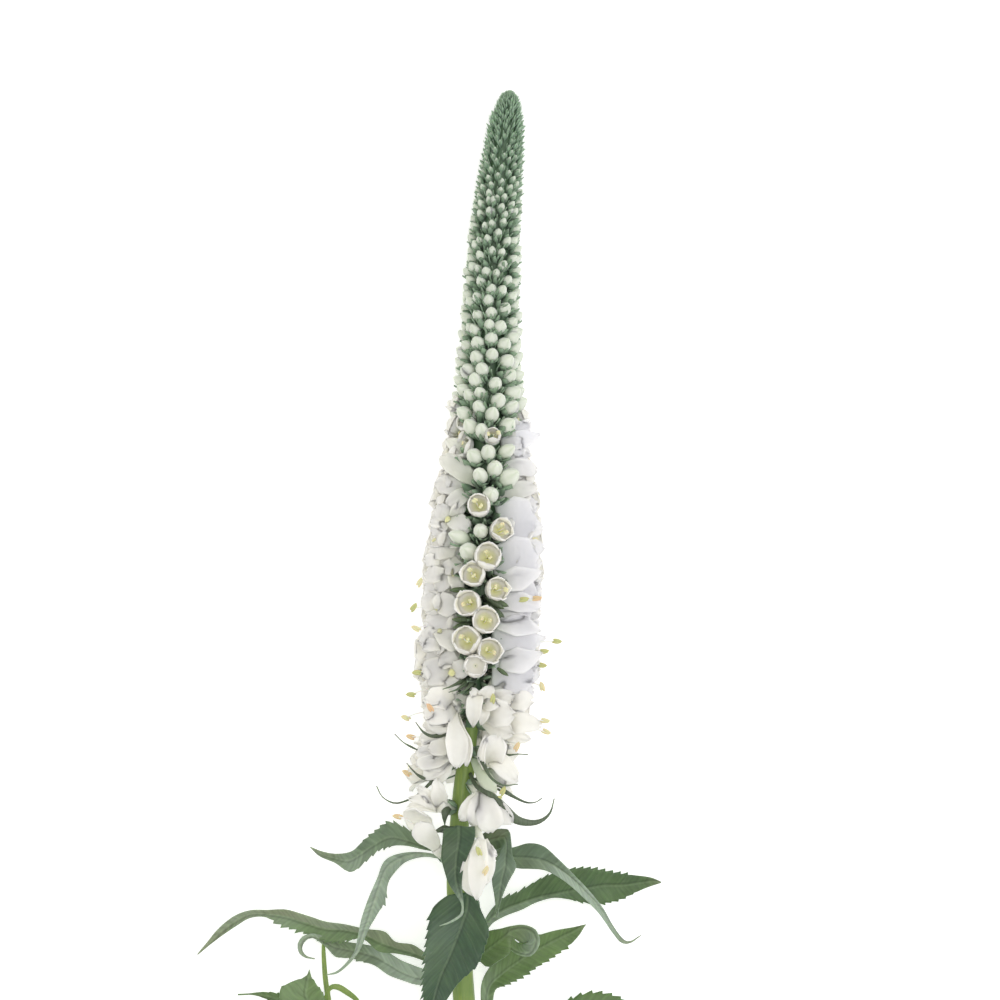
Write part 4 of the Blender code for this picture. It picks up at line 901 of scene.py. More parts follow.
# the broad petals at both sides, that lie over one another: places (x, y, height over the axis), half widths,
# share of cream with painted warm shade, share of painted cool backlight, share of painted green-grey shade
sidePetals = [
    ([(8.8, 46.2, 3), (6.2, 47.6, 3.6), (3.6, 49.2, 2.2)], (0.8, 1.7, 1.5, 0.6), 0.15, 0, 0.8),
    ([(10, 40.2, 4), (7, 42.6, 5), (4.6, 44.4, 4.4), (2.4, 45.6, 2.6)], (0.8, 1.8, 2, 1.3), 0.15, 0, 0.75),
    ([(8.8, 38.2, 3), (5.8, 39.4, 3.6), (3.4, 40.2, 3.2), (1.4, 40.2, 1.6)],
     (1, 1.8, 1.9, 1.3), 0.15, 0.05, 0.4),
    ([(8.8, 39.4, 3.2), (6.4, 37.6, 4.6), (4.8, 36.4, 4.2), (3.8, 35.4, 3.4)],
     (1, 1.6, 1.8, 1.2), 0.15, 0, 0.5),
    ([(4.8, 33, 3.2), (3.2, 34.4, 3.8), (1.6, 35.6, 2.2)], (0.8, 1.8, 1.4), 0.15, 0, 0.35),
    ([(4.2, 32.8, 3.2), (3, 31.8, 3.6), (2.4, 30.6, 2.4)], (0.6, 1.2, 0.9), 0.75, 0, 0.2),
    ([(4.2, 33.2, 3.6), (6.4, 32.4, 6), (8.6, 31.2, 5.6)], (1, 2, 1.5), 0.15, 0, 0.35),
    ([(4.8, 33.4, 3.6), (6, 35, 4.6), (7.2, 36.2, 4.4)], (0.8, 1.4, 1.2), 0.15, 0, 0.35),
    ([(4.8, 29.8, 3), (2.4, 30.8, 2.8), (0.6, 31.2, 1.6)], (0.8, 1.3, 1.2), 0.25, 0.55, 0),
    ([(5.6, 26.6, 3), (2.6, 27.4, 3.6), (0.2, 27.4, 1.8)], (1.2, 2.4, 2.2), 0.75, 0, 0.2),
    ([(6.4, 25, 3.4), (4.8, 23.8, 4.2), (2.6, 23.4, 2.8)], (1.2, 1.8, 1.2), 0.75, 0, 0.2),
    ([(4.8, 21.8, 3.6), (3, 20.6, 4), (1.8, 19, 2.8)], (1, 1.8, 1.4), 0.65, 0, 0.1),
    ([(4.8, 22.2, 3.6), (5.8, 20.4, 4.8), (6, 18.6, 4.6)], (1, 1.7, 1.2), 0.95, 0, 0.2),
    ([(4.4, 20.2, 3), (1.2, 20, 2.6), (-0.6, 20.2, 1.2)], (1.6, 3, 2.6), 0.25, 0.35, 0),
    ([(1.6, 15.8, 3.3), (3.8, 16.2, 4.6), (6.2, 16.6, 4.6)], (1.2, 2.6, 1.8), 0.55, 0, 0),
    ([(2.2, 15.8, 3), (0.4, 16.6, 3.2), (-1.2, 17.4, 2)], (1.2, 2, 1.6), 0.45, 0.15, 0),
    ([(7.6, 12.6, 3), (4, 13, 3.6), (-0.6, 13, 1.8)], (1.2, 1.8, 1.8), 0.35, 0.15, 0),
    ([(3.2, 10.6, 3), (0.6, 9.6, 3.2), (-1.6, 8.8, 1.6)], (1.2, 2.2, 1.8), 0.35, 0.25, 0),
    ([(2, 11, 3.3), (4.2, 9.2, 4.6), (6, 7.4, 4.2)], (1.2, 2.2, 1.6), 0.55, 0, 0),
    ([(2.6, 10.6, 3), (2, 8.4, 3.6), (1.6, 6.4, 3)], (1.2, 1.8, 1.4), 0.45, 0.15, 0),
    ([(5.6, 2.8, 3), (2, 2.8, 3.6), (-1, 2, 1.8)], (1.6, 3, 2.6), 0.45, 0.05, 0),
    ([(4.8, 2.6, 3.2), (4.4, 0.4, 4.4), (3.6, -1.2, 3.6)], (1.4, 2.4, 1.8), 0.55, 0, 0),
    ([(4.6, 2.6, 3.3), (6.6, 3.4, 5.2), (8.2, 4.6, 4.8)], (1.2, 2, 1.6), 0.65, 0, 0.1),
    ([(5, 2.8, 3), (4, 5, 4), (3.2, 6.8, 3.4)], (1.4, 2.2, 1.8), 0.55, 0, 0),
    ([(8.4, -3.4, 3), (4, -2.8, 3.4), (-0.8, -2.6, 1.8)], (1.2, 2, 1.6), 0.45, 0.05, 0),
    ([(15, 49, 3.3), (18.4, 51, 2.8), (20.6, 52.6, 1.6)], (1, 1.4, 1.2), 0, 0.8, 0),
    ([(14.8, 47.8, 3.3), (18.4, 49, 3.4), (20.8, 49.6, 2.8), (22.4, 50.2, 1.8)], (1.4, 2, 1.8, 0.5), 0, 1, 0),
    ([(15.4, 48.2, 3.3), (18, 47.2, 3.6), (18.6, 45, 2.6)], (1.2, 1.6, 0.8), 0, 0.6, 0.1),
    ([(14.4, 43, 3.3), (18.2, 43.6, 3.6), (21.8, 43, 1.8)], (1.2, 1.8, 1.7), 0.2, 0.5, 0.25),
    ([(14, 37, 3.3), (18.2, 39, 4), (21.8, 39.6, 1.8)], (1.2, 2, 1.1), 0.15, 0, 0.55),
    ([(13.6, 34.6, 3.3), (18, 35.6, 3.2), (21.8, 36.2, 1.8)], (1.6, 2.6, 2.4), 0, 0.7, 0),
    ([(14.4, 32.6, 3.3), (17.6, 33.2, 3.4), (20.4, 33.8, 2.2)], (1.2, 1.6, 1.2), 0, 0.4, 0.2),
    ([(14, 29, 3.3), (18.8, 31.2, 3.4), (23, 31.6, 1.6)], (1.6, 2.6, 1.6), 0, 0.8, 0),
    ([(14.4, 28, 3.3), (19.2, 27.4, 3.4), (23.2, 27.6, 1.6)], (1.6, 2.4, 1.6), 0, 0.9, 0),
    ([(13.6, 25.8, 3.4), (16.6, 27.4, 4.4), (19, 29.2, 3.6)], (1.2, 1.8, 1.4), 0.2, 0.3, 0.25),
    ([(14, 23, 3.3), (18.4, 24.2, 3.6), (22.6, 25, 1.8)], (1.6, 2.4, 1.6), 0.2, 0.6, 0.1),
    ([(14.4, 22.2, 3.3), (18.6, 21.6, 3.6), (22.6, 21.6, 1.8)], (1.6, 2.4, 1.8), 0.5, 0.3, 0.25),
    ([(15.6, 19, 3.3), (19.4, 19.2, 3.6), (22.8, 18.8, 1.8)], (1.6, 2.2, 1.6), 0.1, 0.7, 0),
    ([(15, 16.2, 3.3), (18.8, 16.4, 3.6), (22.2, 17, 2)], (1.6, 2.2, 1.8), 0, 0.8, 0),
    ([(14.8, 15, 3.3), (18.4, 14.6, 3.6), (22.6, 14.4, 1.8)], (1.8, 2.4, 1.5), 0.5, 0.4, 0.2),
    ([(14.4, 10.6, 3.3), (18.2, 11.4, 3.8), (22, 11.6, 2)], (1.6, 2.4, 2), 0.2, 0.5, 0.1),
    ([(14.8, 7.8, 3.3), (19.2, 8.6, 3.6), (23.6, 9.6, 1.4)], (1.6, 2.2, 0.6), 0, 0.9, 0),
    ([(14.4, 6, 3.3), (18.2, 5.8, 3.8), (22, 6, 2)], (1.6, 2.6, 2), 0, 0.7, 0),
    ([(15.6, 3.4, 3.3), (19.2, 2.8, 3.8), (22.2, 2.4, 1.8)], (1.6, 2.4, 1.8), 0.1, 0.7, 0),
    ([(12.4, 1, 3.4), (15, 0.2, 4.8), (17.2, -0.2, 4.2)], (1.2, 1.8, 1.4), 0.15, 0.1, 0.55),
    ([(13.6, -1.8, 3.3), (17.8, -1, 3.8), (21.2, -0.8, 2.2)], (1.6, 2.4, 1.8), 0, 0.8, 0),
    ([(14.6, 46, 2.6), (17.6, 46.6, 3.2), (20.4, 46.2, 1.8)], (1.4, 2.4, 1.8), 0.1, 0.6, 0.1),
    ([(14.2, 23.4, 3), (18, 22.8, 3.5), (22.2, 23, 2)], (1.8, 2.6, 2), 0.2, 0.6, 0.05),
    ([(14.2, 20.6, 3), (18.4, 20.4, 3.5), (22.4, 20.2, 2)], (1.8, 2.6, 2), 0.2, 0.6, 0.05),
    ([(14.2, 13, 3), (18.4, 13, 3.5), (22.2, 13, 2)], (1.8, 2.8, 2.2), 0.2, 0.6, 0),
    ([(14, 4.4, 3), (18.4, 4.4, 3.6), (22, 4.2, 2)], (1.8, 2.8, 2.2), 0.2, 0.6, 0),
    ([(13.4, -1.2, 3), (16.6, -2, 3.6), (20.4, -3.2, 2.2)], (1.8, 2.4, 1.8), 0.2, 0.5, 0),
    ([(8.4, 30.2, 2.8), (5, 29.6, 3.4), (2.2, 29, 2)], (1.6, 2.4, 1.8), 0.55, 0.05, 0.1),
    ([(7.6, 23.2, 2.8), (4, 22.8, 3.4), (0.4, 22.8, 1.8)], (1.6, 2.6, 2), 0.55, 0.05, 0.1),
    ([(7, 6.4, 2.8), (3.6, 5.8, 3.4), (-0.6, 5.2, 1.8)], (1.6, 2.6, 2), 0.55, 0.05, 0),
    ([(14, 13, 4.8), (18.2, 12.2, 5.3), (22.6, 10.8, 3.6)], (1.8, 2.6, 0.5), 0.1, 0.6, 0),
    ([(14, 20.4, 4.8), (18.2, 21.4, 5.3), (22.8, 22.8, 3.6)], (1.8, 2.6, 0.5), 0.1, 0.6, 0.05),
    ([(14.2, 17.2, 4.7), (18.8, 16.6, 5.1), (22.6, 15.6, 3.5)], (1.6, 2.2, 1.2), 0.1, 0.7, 0),
    ([(14.2, 4.8, 4.8), (18.8, 5.2, 5.4), (22.8, 6.6, 3.7)], (1.8, 2.8, 0.5), 0.1, 0.6, 0),
    ([(14.6, 48, 3.4), (17.6, 48.4, 4), (19.6, 48.4, 2.8)], (1, 1.4, 1), 0.1, 0.6, 0),
    ([(3.4, 22.2, 3.6), (1.2, 22.2, 3.8), (-0.6, 22, 2)], (1.2, 1.8, 1.4), 0.4, 0.1, 0),
    ([(2.6, 8, 3.8), (0.8, 8.2, 4), (-0.8, 8.4, 2.4)], (1, 1.4, 1.2), 0.4, 0.1, 0),
    ([(2.4, 25, 3.2), (0.6, 25, 3.2), (-0.6, 25, 1.8)], (1, 1.4, 1.2), 0.4, 0.1, 0),
    ([(3.4, 32.4, 3.4), (1.6, 32.6, 3.2), (0.6, 32.6, 2)], (0.9, 1.2, 1), 0.4, 0.1, 0.1),
    ([(14.4, 49, 1.7), (18, 49.4, 2.1), (20.6, 49, 0.7)], (2.8, 3.6, 3), 0, 0.8, 0),
    ([(14, 41, 1.9), (18, 41.4, 2.1), (20.8, 41, 0.7)], (2.8, 4.4, 3.6), 0, 0.6, 0.15),
    ([(13.6, 33, 3.9), (18, 33, 4.6), (21.6, 33, 3)], (2.8, 4.8, 4), 0, 0.8, 0),
    ([(13.2, 25, 4.3), (18, 25, 4.9), (22, 25, 3.3)], (2.8, 4.8, 4.4), 0, 0.8, 0),
    ([(12.8, 17.4, 4.1), (18, 17.4, 4.6), (22, 17.4, 3)], (2.8, 4.8, 4.4), 0, 0.8, 0),
    ([(12.8, 9.4, 4.3), (17.8, 9.4, 4.9), (21.8, 9.4, 3.3)], (2.8, 4.8, 4.4), 0, 0.8, 0),
    ([(12.8, 2.4, 4.3), (17.6, 2.2, 4.9), (21.2, 2, 3.4)], (2.4, 4, 3.2), 0, 0.8, 0),
    ([(9.2, 43, 1.9), (6, 43, 2.3), (3.6, 43, 0.9)], (2, 3.4, 2.8), 0.15, 0, 0.45),
    ([(9.6, 34, 1.9), (5.6, 34.6, 2.3), (2, 35.4, 0.7)], (2.4, 4.4, 3.2), 0.55, 0.05, 0.2),
    ([(9.2, 26, 1.9), (4.8, 26.4, 2.3), (1.2, 27, 0.7)], (2.4, 4.4, 3.6), 0.45, 0.15, 0.1),
    ([(8.4, 18, 1.9), (4.4, 18, 2.3), (-0.2, 18.4, 0.7)], (2.4, 4.8, 4), 0.35, 0.25, 0),
    ([(8, 10, 1.9), (3.6, 10.4, 2.3), (-0.8, 10.6, 0.7)], (2.4, 4.8, 4), 0.35, 0.25, 0),
    ([(8.4, 2, 1.9), (3.6, 1.6, 2.3), (-0.8, 1.4, 0.7)], (2.4, 4.8, 4), 0.35, 0.15, 0),
]
# the yellow-green throats that show among them: x, y, height over the axis, half width, half length
sideHearts = [
    (4, 33, 4.1, 0.7, 0.8), (5, 22.6, 4.4, 0.5, 0.9), (1.6, 16, 3.9, 0.5, 1.2), (2.4, 10.8, 3.6, 0.6, 0.6),
    (4.8, 2.6, 4.2, 0.8, 0.7),
]
sideLook = {
    "thick": 0.22, "ruffle": 0.1, "crease": 0.1, "crumple": 0.05, "lipWave": 0.25, "cup": 7, "tipVaries": 0.3,
    "seed": 23,
}


def makeSidePetals():
    store = newStore()
    for number, (route, halfWidths, creamAndWarmShade, paintedBacklight, green) in enumerate(sidePetals):
        draw = random.Random(sideLook["seed"] * 1000 + number)
        raised = [[x, y, pointAtY(y)[2] + lift] for x, y, lift in route]
        raised[-1][2] += draw.uniform(-0.6, 1) * sideLook["tipVaries"]
        face = (0.3 if route[-1][0] > route[0][0] else -0.3, 0.16 if max(halfWidths) < 3.3 else 0.0, 1)
        points, closed, inner, along = petalSheet(raised, halfWidths, face, sideLook["cup"], draw, sideLook)
        # painted light, sheet by sheet: cream with warm shade, the cool backlight tint, and green-grey shade
        # that pulls the colour towards the young green
        gather(store, points, closed, inner=[value * creamAndWarmShade * 2 for value in inner],
               along=[value * (1 - 0.7 * green) for value in along], tint=-paintedBacklight, ripe=1.0)
    for x, y, lift, wide, long in sideHearts:
        z = pointAtY(y)[2] + lift
        rings = [(x + 0.2 * t * t, y + long * t, z - 0.15 * t, wide * r) for t, r in (
            (-1, 0.15), (-0.7, 0.6), (-0.2, 1.0), (0.3, 0.8), (0.7, 0.65), (1, 0.1))]
        gather(store, *sweep(rings, 10, flat=0.5), inner=1.0, along=0.1, tint=0.0, ripe=1.0)
    finishPiece("side_petals", weld(meshFrom("sidePetals", **store)), [petalFinish], "petals", "flower_spike")
    print("side petals:", len(sidePetals), "petals")


makeSidePetals()


# the axis of the spike, the stem and the side shoot

def ribbed(vertices, line, sides, depth):
    for at, vertex in enumerate(vertices):
        k, i = divmod(at, sides)
        middle = Vector(line[k][:3])
        wave = math.cos(stemLook["ribs"] * fullTurn * i / sides + 0.02 * k)
        vertices[at] = middle + (vertex - middle) * (1 + depth * wave)
    return vertices


def makeAxis():  # the green axis that carries the florets, thick where the buds are close
    sides, line = 20, []
    for distance in range(1, 151):
        place = lineFrame(distance)[0]
        if place.y < headFromY + 0.2:
            break
        line.append((*place, blend(spikeSettings["shape"], distance)[coreAt]))
    vertices, faces = sweep(line, sides)
    mesh = weld(meshFrom("spikeAxis", ribbed(vertices, line, sides, 0.04), faces))
    finishPiece("spike_axis", mesh, [stemFinish, shadedAxisFinish], "stem", "flower_spike")
    for polygon in mesh.polygons:  # in among the close buds the axis gets the darker, painted-shade copy of the stem skin
        polygon.material_index = 1 if polygon.center.y > spikeSettings["shadedAxisFromY"] * mm else 0


makeAxis()


# the loose, tired florets at the foot. Each petal: route, then half widths, the way it faces, cup in degrees
footFlorets = {
    "shoe": [
        [(10.2, -1, 16.8), (9.4, -3.2, 19), (9.2, -5.8, 18.6), (9.1, -8.2, 17), (0.8, 1.8, 1.6, 0.3),
         (-0.15, 0, 1), 32],
        [(10.4, -3, 16.8), (11.6, -1.6, 18.6), (12.8, 0, 18), (0.8, 1.6, 1), (0.1, 0.1, 1), 25],
        [(10.6, -3.6, 16.8), (12.6, -3.6, 18.6), (14.8, -2.8, 18.2), (0.8, 1.4, 0.8), (0.2, 0, 1), 25],
        [(10.6, -3.6, 16.6), (11.2, -5.6, 18), (10.6, -7.8, 16.8), (0.8, 1.2, 0.4), (0.1, -0.1, 1), 25],
        [(10.4, -2.6, 16.8), (9.4, -1.4, 18.4), (8.8, -0.4, 17.8), (0.8, 1.2, 0.6), (-0.1, 0.1, 1), 25],
    ],
    "orangeCup": [
        [(5.2, -3.6, 14.4), (2.6, -2.4, 17.8), (-0.4, -2.6, 17.4), (1.2, 2.4, 2.2), (-0.2, 0.25, 1), 25],
        [(5.2, -4.2, 15), (2.4, -5.4, 18.4), (-0.8, -5.8, 17.6), (1.2, 2.4, 2), (-0.2, 0, 1), 25],
        [(5.2, -4.8, 14.6), (2.8, -7, 17.6), (0.4, -8.8, 16.6), (1.2, 2.6, 2), (-0.1, -0.3, 1), 20],
        [(5.2, -4.4, 14.4), (2.6, -5, 17.2), (-0.6, -5.4, 16.6), (1.6, 3.4, 2.8), (-0.2, 0, 1), 12],
    ],
    "boat": [
        [(5, -4.6, 14.6), (5.2, -7.4, 18.2), (5.8, -11.4, 20.6), (5.8, -16.2, 20.2), (0.8, 1.2, 2.6, 1.6),
         (0.1, 0, 1), 40],
        [(5.8, -5.4, 14.4), (7, -8.6, 18.4), (8.4, -11.8, 20.6), (7.8, -15.8, 20.2), (0.6, 0.8, 1, 0.6),
         (-0.5, 0, 0.8), 35],
    ],
    "fan": [
        [(4.8, -12.6, 14.8), (2, -11, 16.3), (-1.4, -10.4, 15.4), (0.8, 1.6, 1.4), (-0.1, 0.2, 1), 15],
        [(4.8, -13, 14.9), (1.6, -13, 16.6), (-2.4, -13.4, 15.7), (0.8, 1.6, 1.2), (-0.1, 0.1, 1), 15],
        [(4.8, -13.4, 15), (1.6, -14.8, 16.8), (-2.2, -15.8, 15.9), (0.8, 1.6, 1.4), (-0.1, 0, 1), 15],
        [(4.8, -13.8, 14.9), (2, -16.4, 16.4), (-1, -18.2, 15.4), (0.8, 1.6, 1.2), (-0.1, -0.2, 1), 15],
        [(4.8, -14.2, 14.7), (3, -17.4, 16), (1, -20, 15), (0.8, 1.4, 1), (-0.1, -0.2, 1), 15],
        [(5.2, -13.6, 15), (1.8, -13.8, 16.4), (-1.8, -14.4, 15.4), (1.8, 3.4, 3), (-0.1, 0, 1), 8],
        [(4.8, -12.2, 16.2), (2.4, -12.2, 17.3), (0.2, -12.6, 16.9), (1, 1.8, 1.4), (-0.1, 0, 1), 8],
    ],
    "rightInner": [
        [(11, -5.8, 14.2), (14, -5.4, 18), (17.2, -5.4, 18.4), (1.2, 3, 2.6), (0.15, 0, 1), 25],
        [(11.2, -7, 14), (14, -8.4, 17), (17, -9.4, 16.8), (1.2, 2, 1.8), (0.1, -0.3, 1), 20],
        [(11.2, -4.6, 13.8), (14.2, -2.8, 16.8), (17, -1.8, 16.8), (1.2, 2.2, 1.8), (0.2, 0.3, 1), 20],
    ],
    "rightOuter": [
        [(14, -3.8, 12.8), (18, -3.2, 16.2), (21, -3, 16.4), (1.2, 2.6, 2), (0.2, 0.2, 1), 20],
        [(14, -7.4, 13), (18.4, -7.2, 16.8), (22.6, -7.8, 16.4), (1.2, 2.6, 1.4), (0.2, -0.1, 1), 20],
        [(14, -8.6, 12.4), (17.4, -10, 15.2), (20.4, -10.8, 14.6), (1, 1.6, 1), (0.1, -0.3, 1), 20],
    ],
    "mouth": [
        [(12.2, -16.2, 14), (12.6, -13.8, 18.2), (13.6, -11.6, 19.6), (14.4, -10, 19.4), (1, 2.4, 3, 2.4),
         (0, 0.1, 1), 38],
        [(12.2, -14.2, 14), (14.2, -15, 17.8), (16.2, -17, 18.8), (17.8, -18.8, 18.4), (1, 1.8, 2.2, 1.4),
         (0.1, 0, 1), 25],
        [(12.2, -17.8, 15.6), (11.2, -15.6, 18.8), (11, -12.8, 20.2), (11.8, -10, 20), (0.6, 0.8, 0.8, 0.5),
         (-0.5, 0, 0.8), 45],
    ],
    "crumpled": [
        [(10.4, -21.2, 16.8), (8.8, -23.6, 19.2), (7.4, -25.4, 19.6), (6.4, -26.6, 18.8), (0.6, 1.6, 1.8, 1),
         (-0.15, 0, 1), 8],
        [(11.2, -21.2, 16.8), (13, -23.6, 19.4), (14.8, -25.4, 19.8), (16.6, -27.4, 18.8),
         (0.6, 1.8, 2, 1.4), (0.15, 0, 1), 8],
        [(10.6, -21.2, 17.2), (10, -23.8, 19.9), (9.4, -26, 20.4), (8.8, -27.6, 19.6), (0.6, 1.8, 2, 1.6),
         (-0.05, 0, 1), 6],
        [(10.8, -21.2, 17.4), (11.6, -23.8, 20.2), (12.4, -26.4, 20.8), (12.8, -29, 19.8),
         (0.6, 2, 2.8, 2.4), (0, 0, 1), 5],
    ],
    "hanging": [
        [(10.6, -30.2, 22.4), (9.2, -33, 24), (8, -36.2, 24.4), (7.8, -39, 24), (9, -41.4, 23.4),
         (0.8, 1.4, 1.4, 1.4, 0.6), (-0.15, 0, 1), 14],
        [(11.2, -30.4, 22.4), (12.2, -33.2, 24), (12.2, -36.2, 24.4), (11.4, -39.4, 24),
         (0.8, 1.2, 1.2, 0.8), (0.15, 0, 1), 14],
        [(10.8, -30.2, 23.2), (10.2, -33.4, 25), (10, -37, 25.4), (9.8, -39.8, 24.8), (9.8, -42.2, 23.8),
         (0.8, 1.8, 2.2, 1.8, 0.8), (0, 0, 1), 16],
        [(11.4, -31, 22.4), (12.6, -32.6, 23.6), (13.8, -33.4, 23.6), (0.6, 1, 0.8), (0.1, 0.2, 1), 20],
    ],
    "bell": [
        [(1.2, -32.2, 12), (-0.8, -29, 12.4), (-1.8, -26.6, 13), (-2.4, -25, 15.8), (-2.6, -24.4, 18.8),
         (0.8, 2.2, 2.8, 2.8, 2.2), (-0.1, -0.2, 1), 34],
        [(2, -33, 13.6), (0.6, -30.8, 17.2), (-0.8, -29, 19), (-1.8, -27, 19.4), (0.8, 1.8, 2.4, 2.6),
         (-0.1, 0.1, 1), -34],
    ],
    "lowerLeft": [
        [(1.8, -24.2, 15), (-0.8, -22.8, 16.6), (-3.6, -22.4, 15.8), (0.8, 1.2, 0.8), (-0.1, 0.1, 1), 20],
        [(1.8, -23.8, 14.8), (-0.2, -21.6, 16.6), (-2.2, -20.4, 15.8), (0.8, 1.2, 0.8), (-0.1, 0.1, 1), 20],
        [(2.6, -24, 14.8), (2.2, -21, 17.2), (2.2, -18.6, 17.4), (1.2, 1.8, 1.2), (0, 0.1, 1), 25],
        [(2, -24.6, 14.4), (-0.8, -24, 15.8), (-4, -24.2, 15.2), (0.8, 1, 0.8), (-0.1, 0.1, 1), 15],
    ],
}
# the tube under each: from the axis or stem to the throat, and its radius at both ends
footTubes = [
    ((9.6, -2.2, 12.8), (10, -2.6, 17.4), 0.9, 1.2), ((7.6, -3.6, 12.4), (4.8, -4.2, 14.8), 0.9, 1.4),
    ((7.4, -3.4, 12.4), (5.2, -4.8, 15), 0.8, 1.2), ((7.2, -12.4, 12.4), (4.4, -13.2, 13.4), 0.9, 1.2),
    ((9.6, -5.4, 12), (11.6, -5.6, 14.6), 0.9, 1.2), ((9.6, -7.2, 11.6), (14.4, -7.8, 13.2), 0.9, 1.2),
    ((9, -13, 12.2), (11.6, -14, 13.8), 0.9, 1.3), ((8.4, -19.4, 12), (10.8, -21.2, 16), 0.9, 1.4),
    ((8.2, -24.4, 12.4), (10.7, -30.8, 22.6), 0.5, 0.8), ((4.4, -35, 11.4), (1.6, -32.4, 13.8), 0.9, 1.2),
    ((5.4, -24.6, 12.2), (2.2, -23.8, 15), 0.9, 1.5),
]
greenBud = [
    (9.2, -15.0, 13.0, 0.7), (10.2, -16.6, 15.2, 1.1), (11.4, -18.4, 16.8, 1.5), (12.6, -20.4, 17.6, 1.35),
    (13.2, -21.6, 17.8, 0.6),
]
footLook = {"thick": 0.32, "ruffle": 0.42, "crease": 0.2, "crumple": 0.1, "lipWave": 0.4, "seed": 17}
firmLook = {**footLook, "ruffle": 0.26, "crease": 0.1, "crumple": 0.03, "lipWave": 0.16}
firmFlorets = ("shoe", "boat", "orangeCup", "fan", "crumpled", "hanging", "bell")


def makeFootFlorets():
    store, spots = newStore(), []
    for name, petals in footFlorets.items():
        draw = random.Random(f"{footLook['seed']} {name}")
        for *route, halfWidths, face, cup in petals:
            look = firmLook if name in firmFlorets else footLook
            points, closed, inner, along = petalSheet(route, halfWidths, face, cup, draw, look)
            gather(store, points, closed, inner=inner, along=along, ripe=1.0)
    for start, end, thin, thick in footTubes:
        middle = [(a + b) / 2 for a, b in zip(start, end)]
        line = smoothLine([(*start, thin), (*middle, (thin + thick) / 2 + 0.15), (*end, thick)], 6)
        tones = [0.1 + 0.4 * k / 6 for k in range(7) for _ in range(12)]
        gather(store, *sweep(line, 12), inner=0.0, along=tones, ripe=1.0)
        way = (Vector(end) - Vector(start)).normalized()
        spots.append(spotAt(Vector(start) - way * 0.2, way, (0, -1, 0), (2.6, 2.6, 3.0)))
    tones = [0.05 + 0.25 * k / 12 for k in range(13) for _ in range(14)]
    gather(store, *sweep(smoothLine(greenBud, 12), 14), inner=0.0, along=tones, ripe=1.0)
    mesh = weld(meshFrom("footFlorets", **store))
    finishPiece("foot_florets", mesh, [petalFinish], "petals", "flower_spike")
    finishPiece("foot_calyces", plant("footCalyces", spots, [calyxShape()], calyxFinish, 40.0, 0.1, 21), None,
                "leaf", "flower_spike")
    print("foot florets:", len(footFlorets), "flowers,", len(mesh.polygons), "faces")


makeFootFlorets()

# anthers that stand out of the florets: x, y, height, turn of the anther in degrees, age, root of its thread
strayAnthers = [
    (19.2, 17.2, 16.2, 5, 0, (14, 15, 14)), (21.8, 17.4, 15.4, 0, 0.8, (15, 15, 14)),
    (23.2, 6.8, 14, 0, 0, (17.4, 7.4, 12.4)), (25.8, 8.8, 13.4, -10, 0, (17.6, 8, 12)),
    (22.8, 4, 12.6, -12, 0, (17, 5, 12)), (22.8, -0.2, 13, 100, 0.2, (17, 1.6, 12)),
    (23.4, -7, 15.6, -8, 0.1, (18.4, -7, 15.6)), (23.6, -9.2, 15.2, -25, 0.2, (18.6, -8.6, 15.4)),
    (17.8, -12, 18.4, 60, 0.6, (14.4, -11.4, 16.4)), (-1.6, 20.6, 14, 60, 0.1, (3.6, 19.6, 12.6)),
    (-2.8, 15.6, 13.6, 50, 0, (2.4, 14.6, 12.4)), (-2.4, 11.4, 13.4, 150, 0.1, (2.4, 11.8, 12.4)),
    (-3.4, -1.8, 13.8, 170, 0, (2, -0.6, 12.4)), (-4.4, -6.4, 14.4, 155, 0.1, (0.4, -5.2, 15)),
    (-3.4, -10.2, 14.6, 160, 0.7, (0.6, -11, 15)), (-4.2, -17.4, 14.2, 145, 0.7, (0.4, -16, 14.6)),
    (0.5, -4.2, 19.9, 120, 1, (3.4, -4.2, 17.4)), (-2.2, 2.6, 13.6, 175, 0, (2.4, 2.8, 12.4)),
    (13, -2.4, 20, 80, 0, (10.4, -2.6, 18)), (15, -20.8, 19.2, 60, 0, (13.4, -20.2, 17.6)),
    (14, -22.4, 19.2, 30, 0, (13, -20.8, 17.4)), (11.6, -36.2, 26.5, 60, 0.35, (10.8, -32, 23.6)),
    (10.2, -32.4, 26, 110, 0, (10.6, -31.4, 23.4)), (-6, -26, 16.4, 165, 0.7, (-2.6, -27.6, 16.8)),
]


def makeStrayAnthers():
    store = newStore()
    for x, y, z, turn, age, root in strayAnthers:
        top = Vector((x, y, z))
        middle = (Vector(root) + top) / 2 + Vector((0, 0.3, 0.5))
        line = smoothLine([root, tuple(middle), tuple(top)], 8)
        gather(store, *sweep([(*p, 0.12) for p in line], 5), pollen=0.0, tint=0.0)
        way = flatWay(turn, 0.15).normalized()
        beside = Vector((0, 0, 1)).cross(way).normalized()
        for lobe in (-1, 1):
            rings = [(*(top + beside * lobe * (0.2 - 0.08 * t) + way * (t + 0.1 * lobe)), r) for t, r in (
                (-1.0, 0.06), (-0.8, 0.22), (-0.25, 0.32), (0.3, 0.3), (0.75, 0.17), (0.95, 0.05))]
            gather(store, *sweep(rings, 8), pollen=1.0, tint=age or -1.0)
    finishPiece("stray_anthers", weld(meshFrom("strayAnthers", **store), 0.0005), [stamenFinish], "petals",
                "flower_spike")


makeStrayAnthers()

